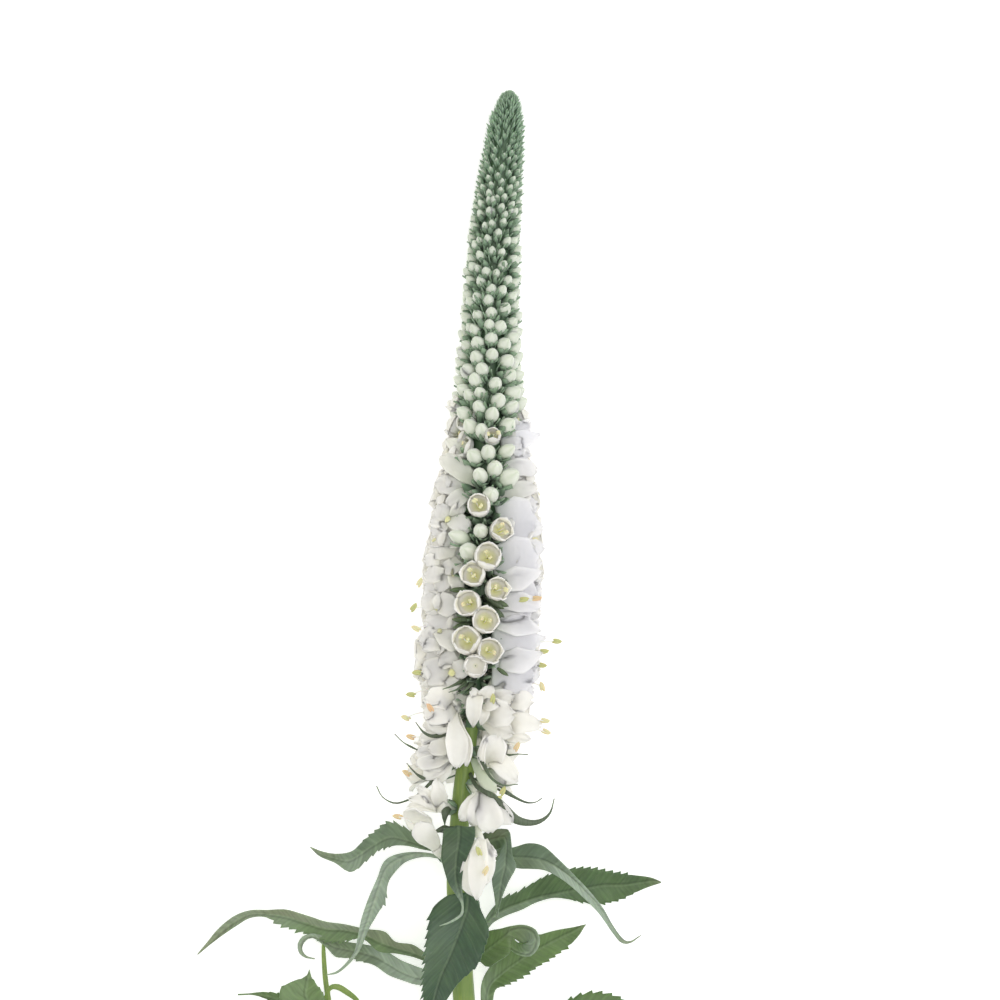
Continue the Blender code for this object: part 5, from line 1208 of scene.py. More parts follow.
# long narrow bracts under the lowest florets: route, scale of the radius, and where it is swollen
curlingBracts = [
    ([(8.2, -15, 12.8), (4.6, -16.6, 14.8), (1, -19, 15.6), (-1.6, -21.4, 15.6), (-4, -22.8, 15.4),
      (-6.6, -23.4, 15.2), (-9, -22.2, 15), (-10.2, -20, 15)], 0.6, 0.3),
    ([(7.6, -6.6, 12.2), (4, -9.2, 15.6), (1.2, -10, 16.8), (-0.8, -9.2, 17),
      (-2.4, -7.2, 16.8)], 0.95, 0.4),
    ([(-1.6, -13, 15.8), (-4, -11.8, 15.6), (-5.2, -11, 15.2), (-6.6, -9.6, 15)], 0.3, 0.3),
    ([(0.6, -19, 15.2), (-1.6, -18, 15.8), (-3, -16.8, 15.8), (-4.2, -15.4, 15.6)], 0.5, 0.3),
    ([(9.2, -12.4, 12.8), (10.6, -14.2, 18.4), (12, -17.2, 20.4), (13.4, -18.8, 21), (15.2, -19.6, 21),
      (18, -19.4, 20.6)], 0.8, 0.35),
    ([(8.4, -17.6, 12.8), (9.8, -20, 17), (12.8, -21.8, 19), (15, -24, 19.4), (17.4, -26.4, 18.6),
      (20.2, -27.2, 17.8), (22.6, -26.8, 17.2), (24.4, -25.2, 16.8), (25.2, -22.4, 16.6)], 1.35, 0.52),
    ([(9.6, -18.4, 12.8), (14.6, -20.6, 16.4), (17.4, -22.2, 16.6), (19.6, -23.2, 16.2),
      (21.4, -23.2, 15.8), (22.8, -22.4, 15.6)], 0.7, 0.4),
    ([(13.6, -14, 14.6), (16.2, -13.8, 16), (18, -13.6, 16.2), (20, -13.7, 16.2)], 0.4, 0.3),
    ([(8.6, 1.6, 12.6), (6.6, 0.8, 16.4), (4.8, 0, 18.6), (3, -0.6, 19)], 0.8, 0.4),
    ([(8.8, 1.2, 12.6), (7.4, 0.4, 16.8), (6, -0.6, 19), (4.2, -1.2, 19.4)], 0.8, 0.4),
    ([(9.2, 0.9, 12.6), (8.6, 0.2, 16.8), (7.4, -0.8, 18.8), (5.8, -1.6, 19.2)], 0.75, 0.4),
    ([(9.4, 0.4, 12.6), (9.4, -0.2, 16.6), (8.6, -0.8, 18.2), (7.4, -1.8, 18.6)], 0.6, 0.4),
    ([(5.4, -24.6, 12.4), (3.8, -24.8, 15.4), (3.4, -26, 16.2), (3.4, -28, 15.4)], 1.3, 0.5),
    ([(5.2, -28.4, 12.2), (3.2, -28.6, 14.6), (1.8, -29, 15), (0.8, -29.8, 14.8)], 1.1, 0.5),
]


def makeCurlingBracts():  # thin, swollen in the middle and hair-thin at the tip
    store, rows = newStore(), 28
    for route, scale, swollenAt in curlingBracts:
        line = []
        for k, place in enumerate(smoothLine(route, rows)):
            t = k / rows
            radius = (0.3 + 0.42 * math.exp(-((t - swollenAt) / 0.2) ** 2)) * scale
            line.append((*place, max(radius * (1 - ease(0.72, 1.0, t) * 0.75), 0.1)))
        gather(store, *sweep(line, 8, flat=0.6), along=0.35, ripe=1.0)
    mesh = weld(meshFrom("curlingBracts", **store))
    finishPiece("curling_bracts", mesh, [bractFinish], "leaf", "flower_spike")


makeCurlingBracts()

# the side shoot and the curled tail beside it: x, y, height, radius
sideShoot = [
    (8.0, -79.5, 7.4, 1.0), (-3.0, -80.0, 8.0, 0.95), (-13.0, -76.0, 7.4, 0.8), (-18.6, -69.0, 6.0, 0.65),
    (-20.4, -61.0, 4.6, 0.55), (-21.0, -55.0, 3.4, 0.45), (-21.1, -51.4, 2.2, 0.3),
]
shootTail = [
    (-21.0, -64.0, 5.6, 0.3), (-19.8, -61.0, 6.6, 0.45), (-18.2, -60.6, 6.8, 0.6), (-16.4, -61.6, 6.6, 0.6),
    (-14.4, -63.2, 6.0, 0.45), (-12.8, -65.4, 5.4, 0.15),
]


def stemRadius(y, radius):
    nearest = min(abs(y - at) for at in stemLook["ringsY"])
    return radius + stemLook["swelling"] * math.exp(-(nearest / stemLook["swellingReach"]) ** 2)


def makeStem():
    sides = 28
    y, line, lineStart = stemLook["startY"], [], middleLine[0][1]
    while y < headFromY:
        x, _, z, radius = pointAtY(max(y, lineStart + 0.01))
        line.append((x, y, z, stemRadius(y, radius)))
        y += stemLook["stepMm"]
    *place, radius = pointAtY(headFromY)
    line.append((*place, stemRadius(headFromY, radius)))
    vertices, faces = sweep(line, sides)
    mesh = meshFrom("stem", ribbed(vertices, line, sides, stemLook["ribDepth"] / 2.2), faces)
    bm = bmesh.new()
    bm.from_mesh(mesh)
    slant = Matrix.Rotation(math.radians(stemLook["cutSlant"]), 3, "X")
    x, _, z, _ = pointAtY(lineStart + 0.1)
    made = bmesh.ops.bisect_plane(
        bm, geom=bm.verts[:] + bm.edges[:] + bm.faces[:], plane_co=Vector((x, stemLook["cutY"], z)) * mm,
        plane_no=slant @ Vector((0, -1, 0)), clear_outer=True)
    rim = [e for e in made["geom_cut"] if isinstance(e, bmesh.types.BMEdge)]
    for face in bmesh.ops.edgeloop_fill(bm, edges=rim)["faces"]:
        face.material_index = 1
        face.smooth = False
    bmesh.ops.recalc_face_normals(bm, faces=bm.faces)
    for line, flat in ((smoothLine(sideShoot, 60), 1.0), (smoothLine(shootTail, 24), 0.4)):
        shootMesh = meshFrom("sideShoot", *sweep(line, 14, flat=flat))
        bm.from_mesh(shootMesh)
        bpy.data.meshes.remove(shootMesh)
    bm.to_mesh(mesh)
    bm.free()
    finishPiece("leafy_stem", mesh, [stemFinish, pithFinish], "stem", "stem")
    print("stem:", len(mesh.polygons), "faces")


makeStem()


# leaves

leafLook = {
    "dark": "#38523B",
    "light": "#6F8A4A",      # young and thin
    "olive": "#7C8462",      # dry, where a half blade has rolled or wilted
    "vein": "#8B9E78",
    "underside": "#A6B6A4",  # grey-green wax bloom
    "veinBelow": "#B9CBA6",
    "roughness": 0.5,
    "veinEveryMm": 3.4,
    "midribShadeMm": 0.45,        # painted shade: a dark line on one side of the midrib, where its groove falls in shade
    "streaks": (1.1, 0.22, 1.0),  # to the millimetre, across and along the side veins and through the blade
    "veinSlope": 0.95,
    "cellMm": 0.8,
    "thickness": 0.34,
    "edgeShare": 0.35,       # of the thickness
    "ribBelow": 1.6,         # how much the midrib stands out underneath
    "toothMm": 1.55,
    "toothDepth": 0.62,
}


def makeLeafFinish():  # leaf blade: waxy skin over a net of veins, paler and duller underneath
    made, tree, shader, place = startFinish("leafBlade")
    blade = addNode(tree, "ShaderNodeUVMap", uv_map="blade").outputs["UV"]
    under, youth, wilt = readLayers(tree, "under", "youth", "olive")
    split = addNode(tree, "ShaderNodeSeparateXYZ", {0: blade}).outputs
    soft = {"interpolation_type": "SMOOTHSTEP"}
    aside = calculate(tree, "ABSOLUTE", split["X"])
    slope = calculate(tree, "MULTIPLY", aside, leafLook["veinSlope"])
    back = calculate(tree, "SUBTRACT", split["Y"], slope)
    bent = calculate(tree, "ADD", back, noiseOf(tree, place, 1 / (5 * mm), 1.0))
    fold = calculate(tree, "PINGPONG", bent, leafLook["veinEveryMm"] / 2)
    fade = calculate(tree, "MULTIPLY", remap(tree, fold, 0.0, 0.32, 1.0, 0.0, **soft), 0.3)
    ridge = calculate(tree, "MULTIPLY", remap(tree, aside, 0.12, 0.42, 1.0, 0.0, **soft), 0.7)
    veins = calculate(tree, "MAXIMUM", ridge, fade)
    spread = remap(tree, noiseOf(tree, place, 1 / (9 * mm), 4.0), 0.3, 0.7, -0.16, 0.16)
    age = calculate(tree, "ADD", youth, spread, use_clamp=True)
    top = mixTones(tree, age, leafLook["dark"], leafLook["light"])
    veined = calculate(tree, "MULTIPLY", veins, 0.24)
    above = mixTones(tree, veined, mixTones(tree, wilt, top, leafLook["olive"]), leafLook["vein"])
    below = mixTones(tree, veined, mixTones(tree, 0.82, top, leafLook["underside"]), leafLook["veinBelow"])
    both = mixTones(tree, under, above, below)
    # painted shade along one side of the midrib
    apart = calculate(tree, "ABSOLUTE", calculate(tree, "SUBTRACT", split["X"], leafLook["midribShadeMm"]))
    paintedMidribShade = remap(tree, apart, 0.0, 0.4, 0.72, 1.0, **soft)
    # streaks across and along the side veins: partly the blade's own uneven tone, partly painted highlight
    # and shade of its puckers
    ways = addNode(tree, "ShaderNodeCombineXYZ", {"X": bent, "Y": slope}).outputs["Vector"]
    stretched = addNode(tree, "ShaderNodeMapping", {"Vector": ways, "Scale": leafLook["streaks"]})
    shade = remap(tree, noiseOf(tree, stretched.outputs["Vector"], 1.0, 3.0), 0.3, 0.7, 0.76, 1.2)
    final = mixTones(tree, 1.0, both, calculate(tree, "MULTIPLY", paintedMidribShade, shade), blend_type="MULTIPLY")
    cells = cellsOf(tree, place, 1 / (leafLook["cellMm"] * mm), feature="SMOOTH_F1")
    sunk, rough = calculate(tree, "MULTIPLY", veins, -1.0), calculate(tree, "MULTIPLY", cells, 0.5)
    dull = remap(tree, under, 0.0, 1.0, leafLook["roughness"], 0.72)
    tree.links.new(dull, shader.inputs["Roughness"])
    setShader(tree, shader, final, 0.5, 0.12, calculate(tree, "ADD", sunk, rough), {
        "Subsurface Weight": 0.18, "Subsurface Scale": 0.5 * mm, "Subsurface Radius": (0.5, 1.0, 0.25),
        "Specular IOR Level": 0.4,
    })
    return made


leafFinish = makeLeafFinish()

# four leaves by the route of the midrib, the ways the upper face looks in along it, and the outline
leafTable = {
    "leaf_lower_right": {
        "route": [
            (10.9, -78, 8.8), (17, -75, 7.4), (26, -69.6, 4.6), (33, -65.5, 2.6), (39.4, -65.6, 1),
            (45.4, -68.6, 0.3),
        ],
        "faces": [(0, 0.4, 0.9), (0, 0.35, 0.9), (0, 0.2, 1)],
        "halfWidth": 4.4, "fold": 14, "widest": 0.48,
    },
    "leaf_lower_left": {
        "route": [
            (5.4, -77.2, 8.6), (-2, -76, 6.8), (-12, -72, 3.6), (-21, -67.4, 1), (-28.4, -64.2, 0.3),
            (-33.6, -62.6, 0.3), (-38.4, -62.6, 0.3),
        ],
        "faces": [(0, 0.4, 0.9), (0, 0.3, 0.95), (0, 0.1, 1)],
        "halfWidth": 3.2, "fold": 14, "widest": 0.45,
    },
    "leaf_lower_front": {
        "route": [
            (8.4, -77, 12.4), (9.2, -75, 14.6), (10, -72.2, 16.6), (9.6, -75.6, 18.8), (8.6, -84, 18.4),
            (7.6, -93, 15.8), (7, -100, 13.2),
        ],
        "faces": [(0, 0.8, -0.5), (0, 0.6, 0.6), (0, 0.1, 1), (0, -0.2, 1), (0, -0.3, 0.9)],
        "halfWidth": 4.4, "fold": 14, "widest": 0.55,
    },
    "leaf_lower_back": {
        "route": [(9.6, -78.6, 4.4), (11.8, -82.4, 2.2), (12.8, -90, 0.8), (16, -97, 0.3), (19, -105, 0.3)],
        "faces": [(0, 0.5, 0.8), (0, 0.2, 1), (0, 0, 1)],
        "halfWidth": 3.8, "fold": 12, "widest": 0.45,
    },
}
# the leaves near the flowers, each by three rails from the stem to the tip: midrib x, y and height; the step
# from there to the right edge, then to the left edge; the share of wax bloom on the right and left half, and
# the share of olive on both. A row that ends early keeps the shares of the row before.
leafRails = {
    "leaf_upper_left": [
        (2.8, -33, 11.6, 0, 0.4, 0.1, -0.2, -0.4, 0.1, 0.34, 0.34, 0, 0),
        (-0.8, -32, 12.6, 0, 1, 0.5, 0, -0.8, 0.3), (-4.4, -30.8, 13.2, 0.4, 2, 0.9, 0.4, -1.2, 0.5),
        (-7.6, -30.2, 12.8, 0, 2.8, 1.1, 0.4, -1.8, 0.6), (-10.8, -31.8, 11.8, 0.4, 2.6, 1.2, 1, -1, 0.6),
        (-13.4, -33.6, 10.6, 0.4, 2.4, 1.1, 1, -1.4, 0.7, 0.34, 0.54, 0, 0.1),
        (-15.8, -35, 9.6, 0.6, 1.8, 0.9, 0.4, -2.4, 0.8, 0.54, 0.64, 0.1, 0.1),
        (-18.8, -34.6, 8.8, 0.4, 0.8, 0.5, 0.2, -1, 0.5, 0.34, 0.34, 0.5, 0.3),
        (-21.6, -33.7, 8.4, 0.2, 0.4, 0.2, 0, -0.7, 0.2, 0.34, 0.34, 0.9, 0.7),
        (-23.6, -32.5, 8.4, 0, 0.1, 0, 0, -0.1, 0, 0.34, 0.34, 1, 1),
    ],
    "leaf_upper_left_drooping": [
        (2.6, -34.4, 10.2, 0, -0.4, 0, -0.2, 0.4, 0, 0.05, 0.05, 0, 0),
        (-0.8, -33.9, 9.8, 0, -0.5, -0.2, 0, 0.4, -0.2, 0.95, 0.85, 0.3, 0.6),
        (-4.8, -34.6, 9.6, 0.4, -0.8, -0.4, -0.2, 1, -0.4, 0.95, 0.45, 0.2, 0.7),
        (-8, -36.6, 9.5, 1.2, -1.1, -0.7, -0.6, 1.5, -0.5, 1, 0.25, 0, 0.6),
        (-9.2, -39.4, 9.6, 1.2, -0.3, -0.7, -1, 0.6, -0.7, 1, 0.75, 0, 0.3),
        (-10.4, -42.8, 9.8, 1.6, -0.6, -0.8, -1.4, 0.4, -0.6, 1, 1, 0, 0),
        (-11.7, -46.8, 10, 1.1, 0.2, -0.6, -1.5, 0.4, -0.6),
        (-12.9, -50.2, 10.2, 0.8, 1, -0.4, -1, 0.6, -0.4), (-14, -53.2, 10.4, 0.4, 0.4, -0.2, -0.7, 0, -0.2),
        (-15.8, -55.4, 10.4, 0.3, -0.1, 0, -0.3, 0.2, 0, 0.85, 0.85, 0.3, 0.3),
        (-18, -57.4, 10.3, 0, -0.2, 0, -0.1, 0.3, 0, 0.65, 0.65, 0.6, 0.6),
        (-20.26, -57.96, 10.2, 0, -0.08, 0, 0, 0.08, 0, 0.55, 0.55, 0.8, 0.8),
    ],
    "leaf_upper_front": [
        (5.4, -33, 14.2, -0.4, 0, 0, 0.4, 0, 0, 0, 0, 0.06, 0.06), (5.4, -30.2, 17, -1, 0, 0, 1.6, 0, 0),
        (5.8, -28.4, 19.4, -2.2, -0.2, 0, 3.2, 0, 0), (6.2, -27.8, 21.4, -3, -0.4, 0, 3.2, -0.1, 0),
        (6.2, -30.4, 22.8, -3.2, -0.2, 0.5, 3.2, 0.4, 0.7, 0, 0, 0.16, 0.06),
        (5.8, -33.4, 23.4, -3.06, -0.2, 0.6, 2.6, 0.8, 0.9), (5.6, -36.2, 23.8, -2.2, -0.2, 0.6, 1.8, 1, 0.7),
        (5.7, -38.6, 24.2, -1.5, -0.2, 0.4, 1.2, 0.8, 0.4, 0, 0, 0.06, 0.06),
        (6.3, -40.8, 24.6, -0.7, -0.2, 0.2, 0.6, 0.4, 0.2, 0.32, 0.32, 0.06, 0.06),
        (6.96, -42.8, 25.2, -0.26, 0, 0, 0.24, 0, 0, 0.72, 0.72, 0.06, 0.06),
        (6.94, -44.6, 25.6, -0.24, 0.1, 0, 0.22, -0.1, 0, 0.92, 0.92, 0.06, 0.06),
        (6.2, -45.5, 25.8, -0.14, 0.2, 0, 0.14, -0.2, 0), (4.4, -46.52, 26, -0.04, 0.18, 0, 0.08, -0.18, 0),
        (2.4, -47.2, 26.1, 0, 0.06, 0, 0, -0.06, 0),
    ],
    "leaf_upper_right_front": [
        (8.4, -32.8, 12.8, 0.2, -0.6, 0, 0.2, 0.6, 0, 0, 0, 0.2, 0.2),
        (11, -31.4, 14.6, 0.2, -1.6, 0.5, -0.2, 1.8, 0.6, 0, 0, 0.5, 0.2),
        (13.6, -30.6, 16, -0.2, -2.2, -0.7, -0.4, 2, 0.8, 0, 0, 0.2, 0.5),
        (15.2, -30.4, 17, -0.6, -1.8, 0.5, 0.8, 1.8, -0.6, 0, 0.03, 0.1, 0.4),
        (15.6, -32, 17.6, -1.2, -1, 0.6, 1, 1.4, -0.4, 0.23, 0.23, 0, 0),
        (15.4, -34.2, 18.2, -1.6, -0.2, 0.9, 1.4, 0.6, 0.5, 0.35, 0.29, 0, 0),
        (15.2, -36.2, 18.6, -2.2, 0, 1.2, 2.4, 0.4, 0.9, 0.35, 0.42, 0, 0),
        (14.6, -38.6, 18.6, -1.8, 0, 0.9, 1.6, 0, 0.7, 0.29, 0.42, 0, 0),
        (14.2, -41.2, 18.4, -1, 0, 0.5, 0.9, 0, 0.4, 0.29, 0.35, 0, 0),
        (14, -43.4, 18.2, -0.5, 0, 0.2, 0.4, 0, 0.2, 0.29, 0.29, 0, 0),
        (13.8, -45.9, 18, 0, 0.1, 0, 0.08, 0.1, 0),
    ],
    "leaf_upper_right": [
        (8.6, -33, 10.6, 0.2, -0.6, 0, 0.2, 0.6, 0, 0.25, 0.25, 0, 0),
        (12.6, -33.4, 11.2, 0.2, -1.2, 0.3, -0.2, 1.2, 0.3, 0.25, 0.25, 0.2, 0.2),
        (17.2, -34.4, 12, 0.2, -2, 0.5, -0.6, 2, 0.6, 0.25, 0.25, 0.2, 0),
        (20.4, -34.6, 12.6, 0, -2, 0.5, -0.4, 3.1, 0.8),
        (23.4, -35.2, 13, 0, -1.7, 0.6, -0.4, 3.2, 0.6, 0.45, 0.25, 0.2, 0),
        (26.4, -36.8, 13.2, 0, -1.6, 0.8, -0.4, 2.2, 0.4, 1, 0.35, 0, 0),
        (29.2, -39, 13.2, -0.2, -1.4, 0.9, -0.2, 1.4, 0.3, 1, 0.55, 0, 0),
        (32, -41.9, 12.8, 0, -1.3, 0.7, 0, 1.1, 0.2, 1, 0.95, 0, 0),
        (34.4, -44.8, 12.2, 0, -1, 0.4, 0.4, 0.6, 0.1, 1, 1, 0, 0),
        (36.7, -48.4, 11.6, -0.1, -0.6, 0.2, 0.3, 0.4, 0, 0.85, 0.95, 0.4, 0.4),
        (38.7, -51, 11.2, -0.2, -0.4, 0, 0.3, 0.3, 0, 0.55, 0.55, 0.7, 0.7),
        (40.4, -51.36, 11, 0, -0.24, 0, 0.1, 0.26, 0, 0.45, 0.45, 0.9, 0.9),
        (42.6, -50, 10.8, 0, -0.08, 0, 0, 0.08, 0, 0.25, 0.25, 1, 1),
    ],
    "leaf_middle_front": [
        (6.6, -53.2, 13.6, -0.4, 0, 0, 0.4, 0, 0, 0, 0, 0, 0), (7.2, -49, 16.4, -1.6, 0, 0, 1.2, 0, 0),
        (7.8, -43.4, 18.9, -3, -0.6, 0, 2.6, -0.6, 0), (8, -40.8, 20.3, -3.2, -0.4, 0, 1.8, -0.7, 0),
        (7.8, -44, 21, -6.6, 0.2, -0.8, 2.8, -0.2, 0.6),
        (6.8, -47.2, 21, -6.6, -0.8, 0.7, 5.4, -1, 1.3, 0.1, 0, 0, 0),
        (5.6, -50.4, 20.6, -5.8, -1.2, 1.6, 5.8, -0.8, 1.9, 0.15, 0, 0, 0),
        (4.2, -53.8, 19.9, -4.6, -1.6, 1.8, 5.6, -1.4, 1.9, 0.15, 0.05, 0, 0),
        (2.6, -57.4, 19, -3.4, -1.6, 1.3, 3.6, -1.4, 1.3, 0.1, 0.05, 0, 0),
        (1.2, -62, 17.8, -1.8, -1, 0.7, 2.2, -1, 0.7, 0.05, 0.1, 0, 0),
        (0.4, -66.4, 16.8, -0.4, 0.2, 0.3, 0.8, 0.2, 0.3), (0, -69.48, 16, 0, 0.08, 0, 0.08, 0.08, 0),
    ],
    "leaf_middle_right": [
        (9.4, -52.2, 10.6, 0.2, -0.4, 0, -0.2, 0.4, 0, 0.22, 0.22, 0, 0),
        (11, -49.4, 10.2, 0.4, -0.4, 0, -0.4, 0.4, 0, 0.42, 0.42, 0, 0),
        (12.6, -46.8, 9.8, 0.4, -0.8, 0.1, -0.6, 1, 0.3, 0.52, 0.32, 0, 0),
        (15.4, -45, 9.2, 0.2, -1.2, 0.2, -0.6, 2.2, 0.7, 0.42, 0.07, 0, 0),
        (18.6, -43.8, 8.2, 0.2, -1.2, 0.3, -0.6, 2.2, 0.9, 0.37, 0.02, 0, 0),
        (21.8, -42.8, 7.2, 0, -0.8, 0.3, -0.2, 3.4, 1.1, 0.32, 0, 0, 0),
        (25.2, -42.2, 6, -0.2, -0.6, 0.3, -0.2, 4.2, 1.2, 0.22, 0, 0, 0),
        (28.4, -41.6, 4.6, -0.4, -1.5, 0.5, -0.4, 4.4, 1.2, 0.02, 0, 0, 0),
        (32, -41.1, 3.2, -0.4, -2.7, 0.7, -0.4, 4.1, 1, 0, 0, 0, 0),
        (35.6, -40.6, 1.9, -0.4, -3.4, 0.8, -0.4, 3, 0.8),
        (39.2, -40.6, 1.2, -0.8, -2.7, 0.7, -0.4, 2.3, 0.6),
        (42.8, -40.1, 0.9, -0.8, -1.7, 0.4, -0.6, 1.5, 0.4),
        (45.2, -39.8, 0.9, -0.4, -0.9, 0.2, -0.4, 0.8, 0.2, 0.02, 0.02, 0.2, 0.2),
        (46.9, -40, 1, -0.1, -0.1, 0, -0.1, 0.2, 0, 0.12, 0.12, 0.6, 0.6),
    ],
    "leaf_middle_left_long": [
        (3.8, -53.6, 9.6, 0, 0.4, 0, 0, -0.4, 0, 0.23, 0.18, 0, 0),
        (0.4, -54.8, 9.2, 0, 0.8, 0.3, 0, -0.6, 0.2, 0.23, 0.18, 0.3, 0),
        (-3, -53.6, 8.8, 0, 1.6, 0.7, -0.2, -0.8, 0.2, 0.23, 0.18, 0.6, 0),
        (-6.6, -52.6, 8, 0, 1.2, 0.9, 0, -1.2, 0.4, 0.23, 0.18, 0.8, 0),
        (-9.6, -51.6, 7, 0.8, 2.2, 1.1, -0.4, -1.8, 0.5, 0.23, 0.18, 0.7, 0),
        (-12.8, -50.2, 5.6, 0.2, 1.2, 0.9, -0.4, -0.8, 0.3, 0.33, 0.18, 0.9, 0),
        (-16.6, -49.3, 4.2, 0, 1.1, 0.8, -0.2, -2.1, 0.5, 0.43, 0.18, 0.8, 0),
        (-20.6, -49.1, 3, 0, 1.4, 0.8, -0.2, -2.3, 0.5),
        (-24.6, -48, 2, 0, 1.5, 0.7, -0.2, -1.9, 0.4, 0.33, 0.18, 0.9, 0),
        (-28.6, -46.8, 1.3, 0, 1.4, 0.6, -0.2, -1.9, 0.4, 0.23, 0.38, 1, 0.1),
        (-32.4, -46.3, 0.9, 0, 0.8, 0.4, -0.2, -0.7, 0.3, 0.23, 0.38, 1, 0.5),
        (-36, -46.3, 0.8, 0, 0.7, 0.3, 0.2, -0.8, 0.2, 0.43, 0.38, 0.9, 0.7),
        (-39, -47.8, 0.8, -0.2, 1, 0.3, 0.4, -0.9, 0.2, 0.43, 0.28, 0.8, 0.6),
        (-41.6, -49.7, 0.9, -0.6, 0.5, 0.2, 0.6, -0.6, 0.1, 0.33, 0.18, 0.9, 0.7),
        (-44.1, -52.1, 1, -0.3, 0.3, 0, 0.3, -0.3, 0, 0.23, 0.18, 1, 0.9),
        (-46.5, -54.5, 1.2, -0.04, 0.1, 0, 0.1, -0.06, 0, 0.23, 0.18, 1, 1),
    ],
    "leaf_middle_left_curled": [
        (3.8, -56, 8.4, 0, 0.6, 0, 0, -0.6, 0, 0.86, 0.86, 0, 0),
        (1.2, -58.4, 7.6, 0, 1, 0.2, 0, -1, 0.2, 1, 1, 0, 0), (-2, -58.6, 6.6, 0, 2, 0.5, 0.2, -1.6, 0.4),
        (-5.2, -57.6, 5.6, 0, 2.2, 0.6, 0.2, -1.8, 0.6, 1, 0.96, 0, 0),
        (-8, -56, 4.8, 0, 2.2, 0.7, 0.2, -2.4, 0.6, 1, 0.86, 0, 0),
        (-10.6, -54.6, 4, 0, 1.9, 0.6, 0, -2, 0.4, 0.86, 0.46, 0, 0.1),
        (-13.4, -53.8, 3.4, 0, 1.6, 0.4, 0, -1.8, 0.4, 0.36, 0.36, 0.2, 0.3),
        (-16.2, -53.2, 3, -0.2, 1.4, 0.4, 0.2, -1.8, 0.4, 0.26, 0.26, 0.3, 0.4),
        (-19, -52.6, 2.9, -0.2, 1.4, 0.3, 0.4, -2.2, 0.4, 0.26, 0.36, 0.3, 0.4),
        (-21, -51.6, 3, -0.2, 1, 0.2, 0.4, -1.2, 0.3, 0.46, 0.36, 0.4, 0.5),
        (-23.3, -50.6, 3.2, -0.1, 0.5, 0, 0.1, -0.4, 0.2, 0.76, 0.56, 0.6, 0.6),
        (-25, -51.1, 3.4, -0.4, 0.3, 0, 0.4, -0.4, 0.2), (-25.8, -52.5, 3.5, -0.5, 0.1, 0, 0.5, -0.2, 0.1),
        (-25.54, -53.92, 3.6, -0.36, -0.18, 0, 0.34, 0.22, 0, 0.66, 0.56, 0.7, 0.7),
        (-24.54, -54.8, 3.6, -0.16, -0.2, 0, 0.14, 0.2, 0, 0.56, 0.46, 0.8, 0.8),
        (-22.8, -55.2, 3.6, 0, -0.08, 0, 0, 0.08, 0, 0.46, 0.46, 1, 1),
    ],
    "leaf_middle_right_rolled": [
        (9.6, -53.8, 11.6, 0, -0.6, 0, 0, 0.6, 0, 0, 0, 0, 0),
        (11.2, -53.4, 12.4, 0.6, -2.8, 0.8, -0.6, 2.8, 0.4),
        (13.2, -52, 13, 0.8, -3, 1.2, -1, 3, 0.2, 0, 0, 0.1, 0),
        (15.2, -50.4, 13.8, 1, -3, 1, -0.8, 1.9, 0.4, 0, 0, 0.1, 0.1),
        (16.8, -49, 14.4, 0.2, -1.6, -0.8, -0.2, 1.1, 0.5, 0.1, 0.1, 0.2, 0.2),
        (19, -48.5, 14.6, -0.4, -2.8, -1.5, 0.2, 0.8, 0.7, 0.2, 0.2, 0.3, 0.2),
        (21, -49.3, 14.7, -1.2, -2, -1.8, 0.6, 0.6, 0.8, 0.6, 0.4, 0.2, 0.2),
        (21.4, -51.3, 14.7, -1.6, -0.1, -1.8, 0.9, 0, 0.8, 0.9, 0.7, 0, 0.1),
        (20.2, -53.2, 14.6, -1, 1.7, -1.5, 0.4, -0.6, 0.6, 0.5, 0.6, 0, 0.1),
        (18, -53, 14.4, 0.4, 1.4, -1, 0, -0.6, 0.5, 0.1, 0.2, 0, 0.1),
        (16.4, -51.6, 14, 1, 0.8, -0.5, -0.4, -0.4, 0.3, 0, 0, 0, 0),
        (17.2, -50.2, 13.6, 0.2, 0, 0, -0.1, 0, 0),
    ],
    "leaf_lower_right_raised": [
        (10.8, -76.6, 10.6, 0.4, 0, 0, -0.4, 0, 0, 0.2, 0.2, 0, 0),
        (11.4, -71.4, 10.2, 0.6, 0, 0, -0.6, 0, 0),
        (11.8, -65.2, 9.4, 1, -0.2, 0.2, -1.2, 0.4, 0.3, 0.3, 0.3, 0, 0),
        (12.4, -60.6, 8.8, 1, -0.6, 0.5, -1.6, 1.2, 0.7, 0.1, 0.3, 0, 0),
        (14.8, -58, 8.4, 0.6, -2, 0.8, -1.8, 2.4, 0.9, 0, 0.1, 0, 0),
        (17.8, -55.8, 7.8, 0.6, -2.8, 0.9, -1.8, 3, 0.9, 0, 0, 0, 0),
        (20.6, -54, 7, 0.6, -2.8, 0.9, -1.4, 2.8, 0.9), (23.6, -52.4, 6, 0.6, -2.6, 0.7, -1, 2.3, 0.7),
        (26.6, -50.9, 5, 0.4, -2.3, 0.5, -0.8, 1.6, 0.5), (29.4, -49.6, 4.2, 0.4, -1.4, 0.2, -0.4, 0.8, 0.2),
        (31.6, -48.3, 3.6, 0, -0.1, 0, -0.1, 0.02, 0, 0.1, 0.1, 0.3, 0.3),
    ],
    "leaf_side_shoot": [
        (-21, -67.2, 6, 0.4, 0, 0, -0.4, 0, 0, 0, 0, 0, 0),
        (-23.2, -64.6, 6.6, 2.8, 0.4, 0.4, -3.2, -0.8, 0.4, 0.1, 0.1, 0, 0),
        (-24.4, -62.2, 7, 3.2, 0.4, 0.6, -5.2, -0.8, 0.5, 0.1, 0.2, 0, 0),
        (-24.2, -60.4, 7.2, 2.2, -0.2, 0.6, -4.8, 0, 0.4), (-24, -59.1, 7.3, 1, -0.3, 0.3, -2.4, -0.2, 0.3),
        (-23.8, -58.2, 7.3, 0.3, -0.1, 0.1, -0.7, -0.3, 0.1, 0.2, 0.2, 0, 0),
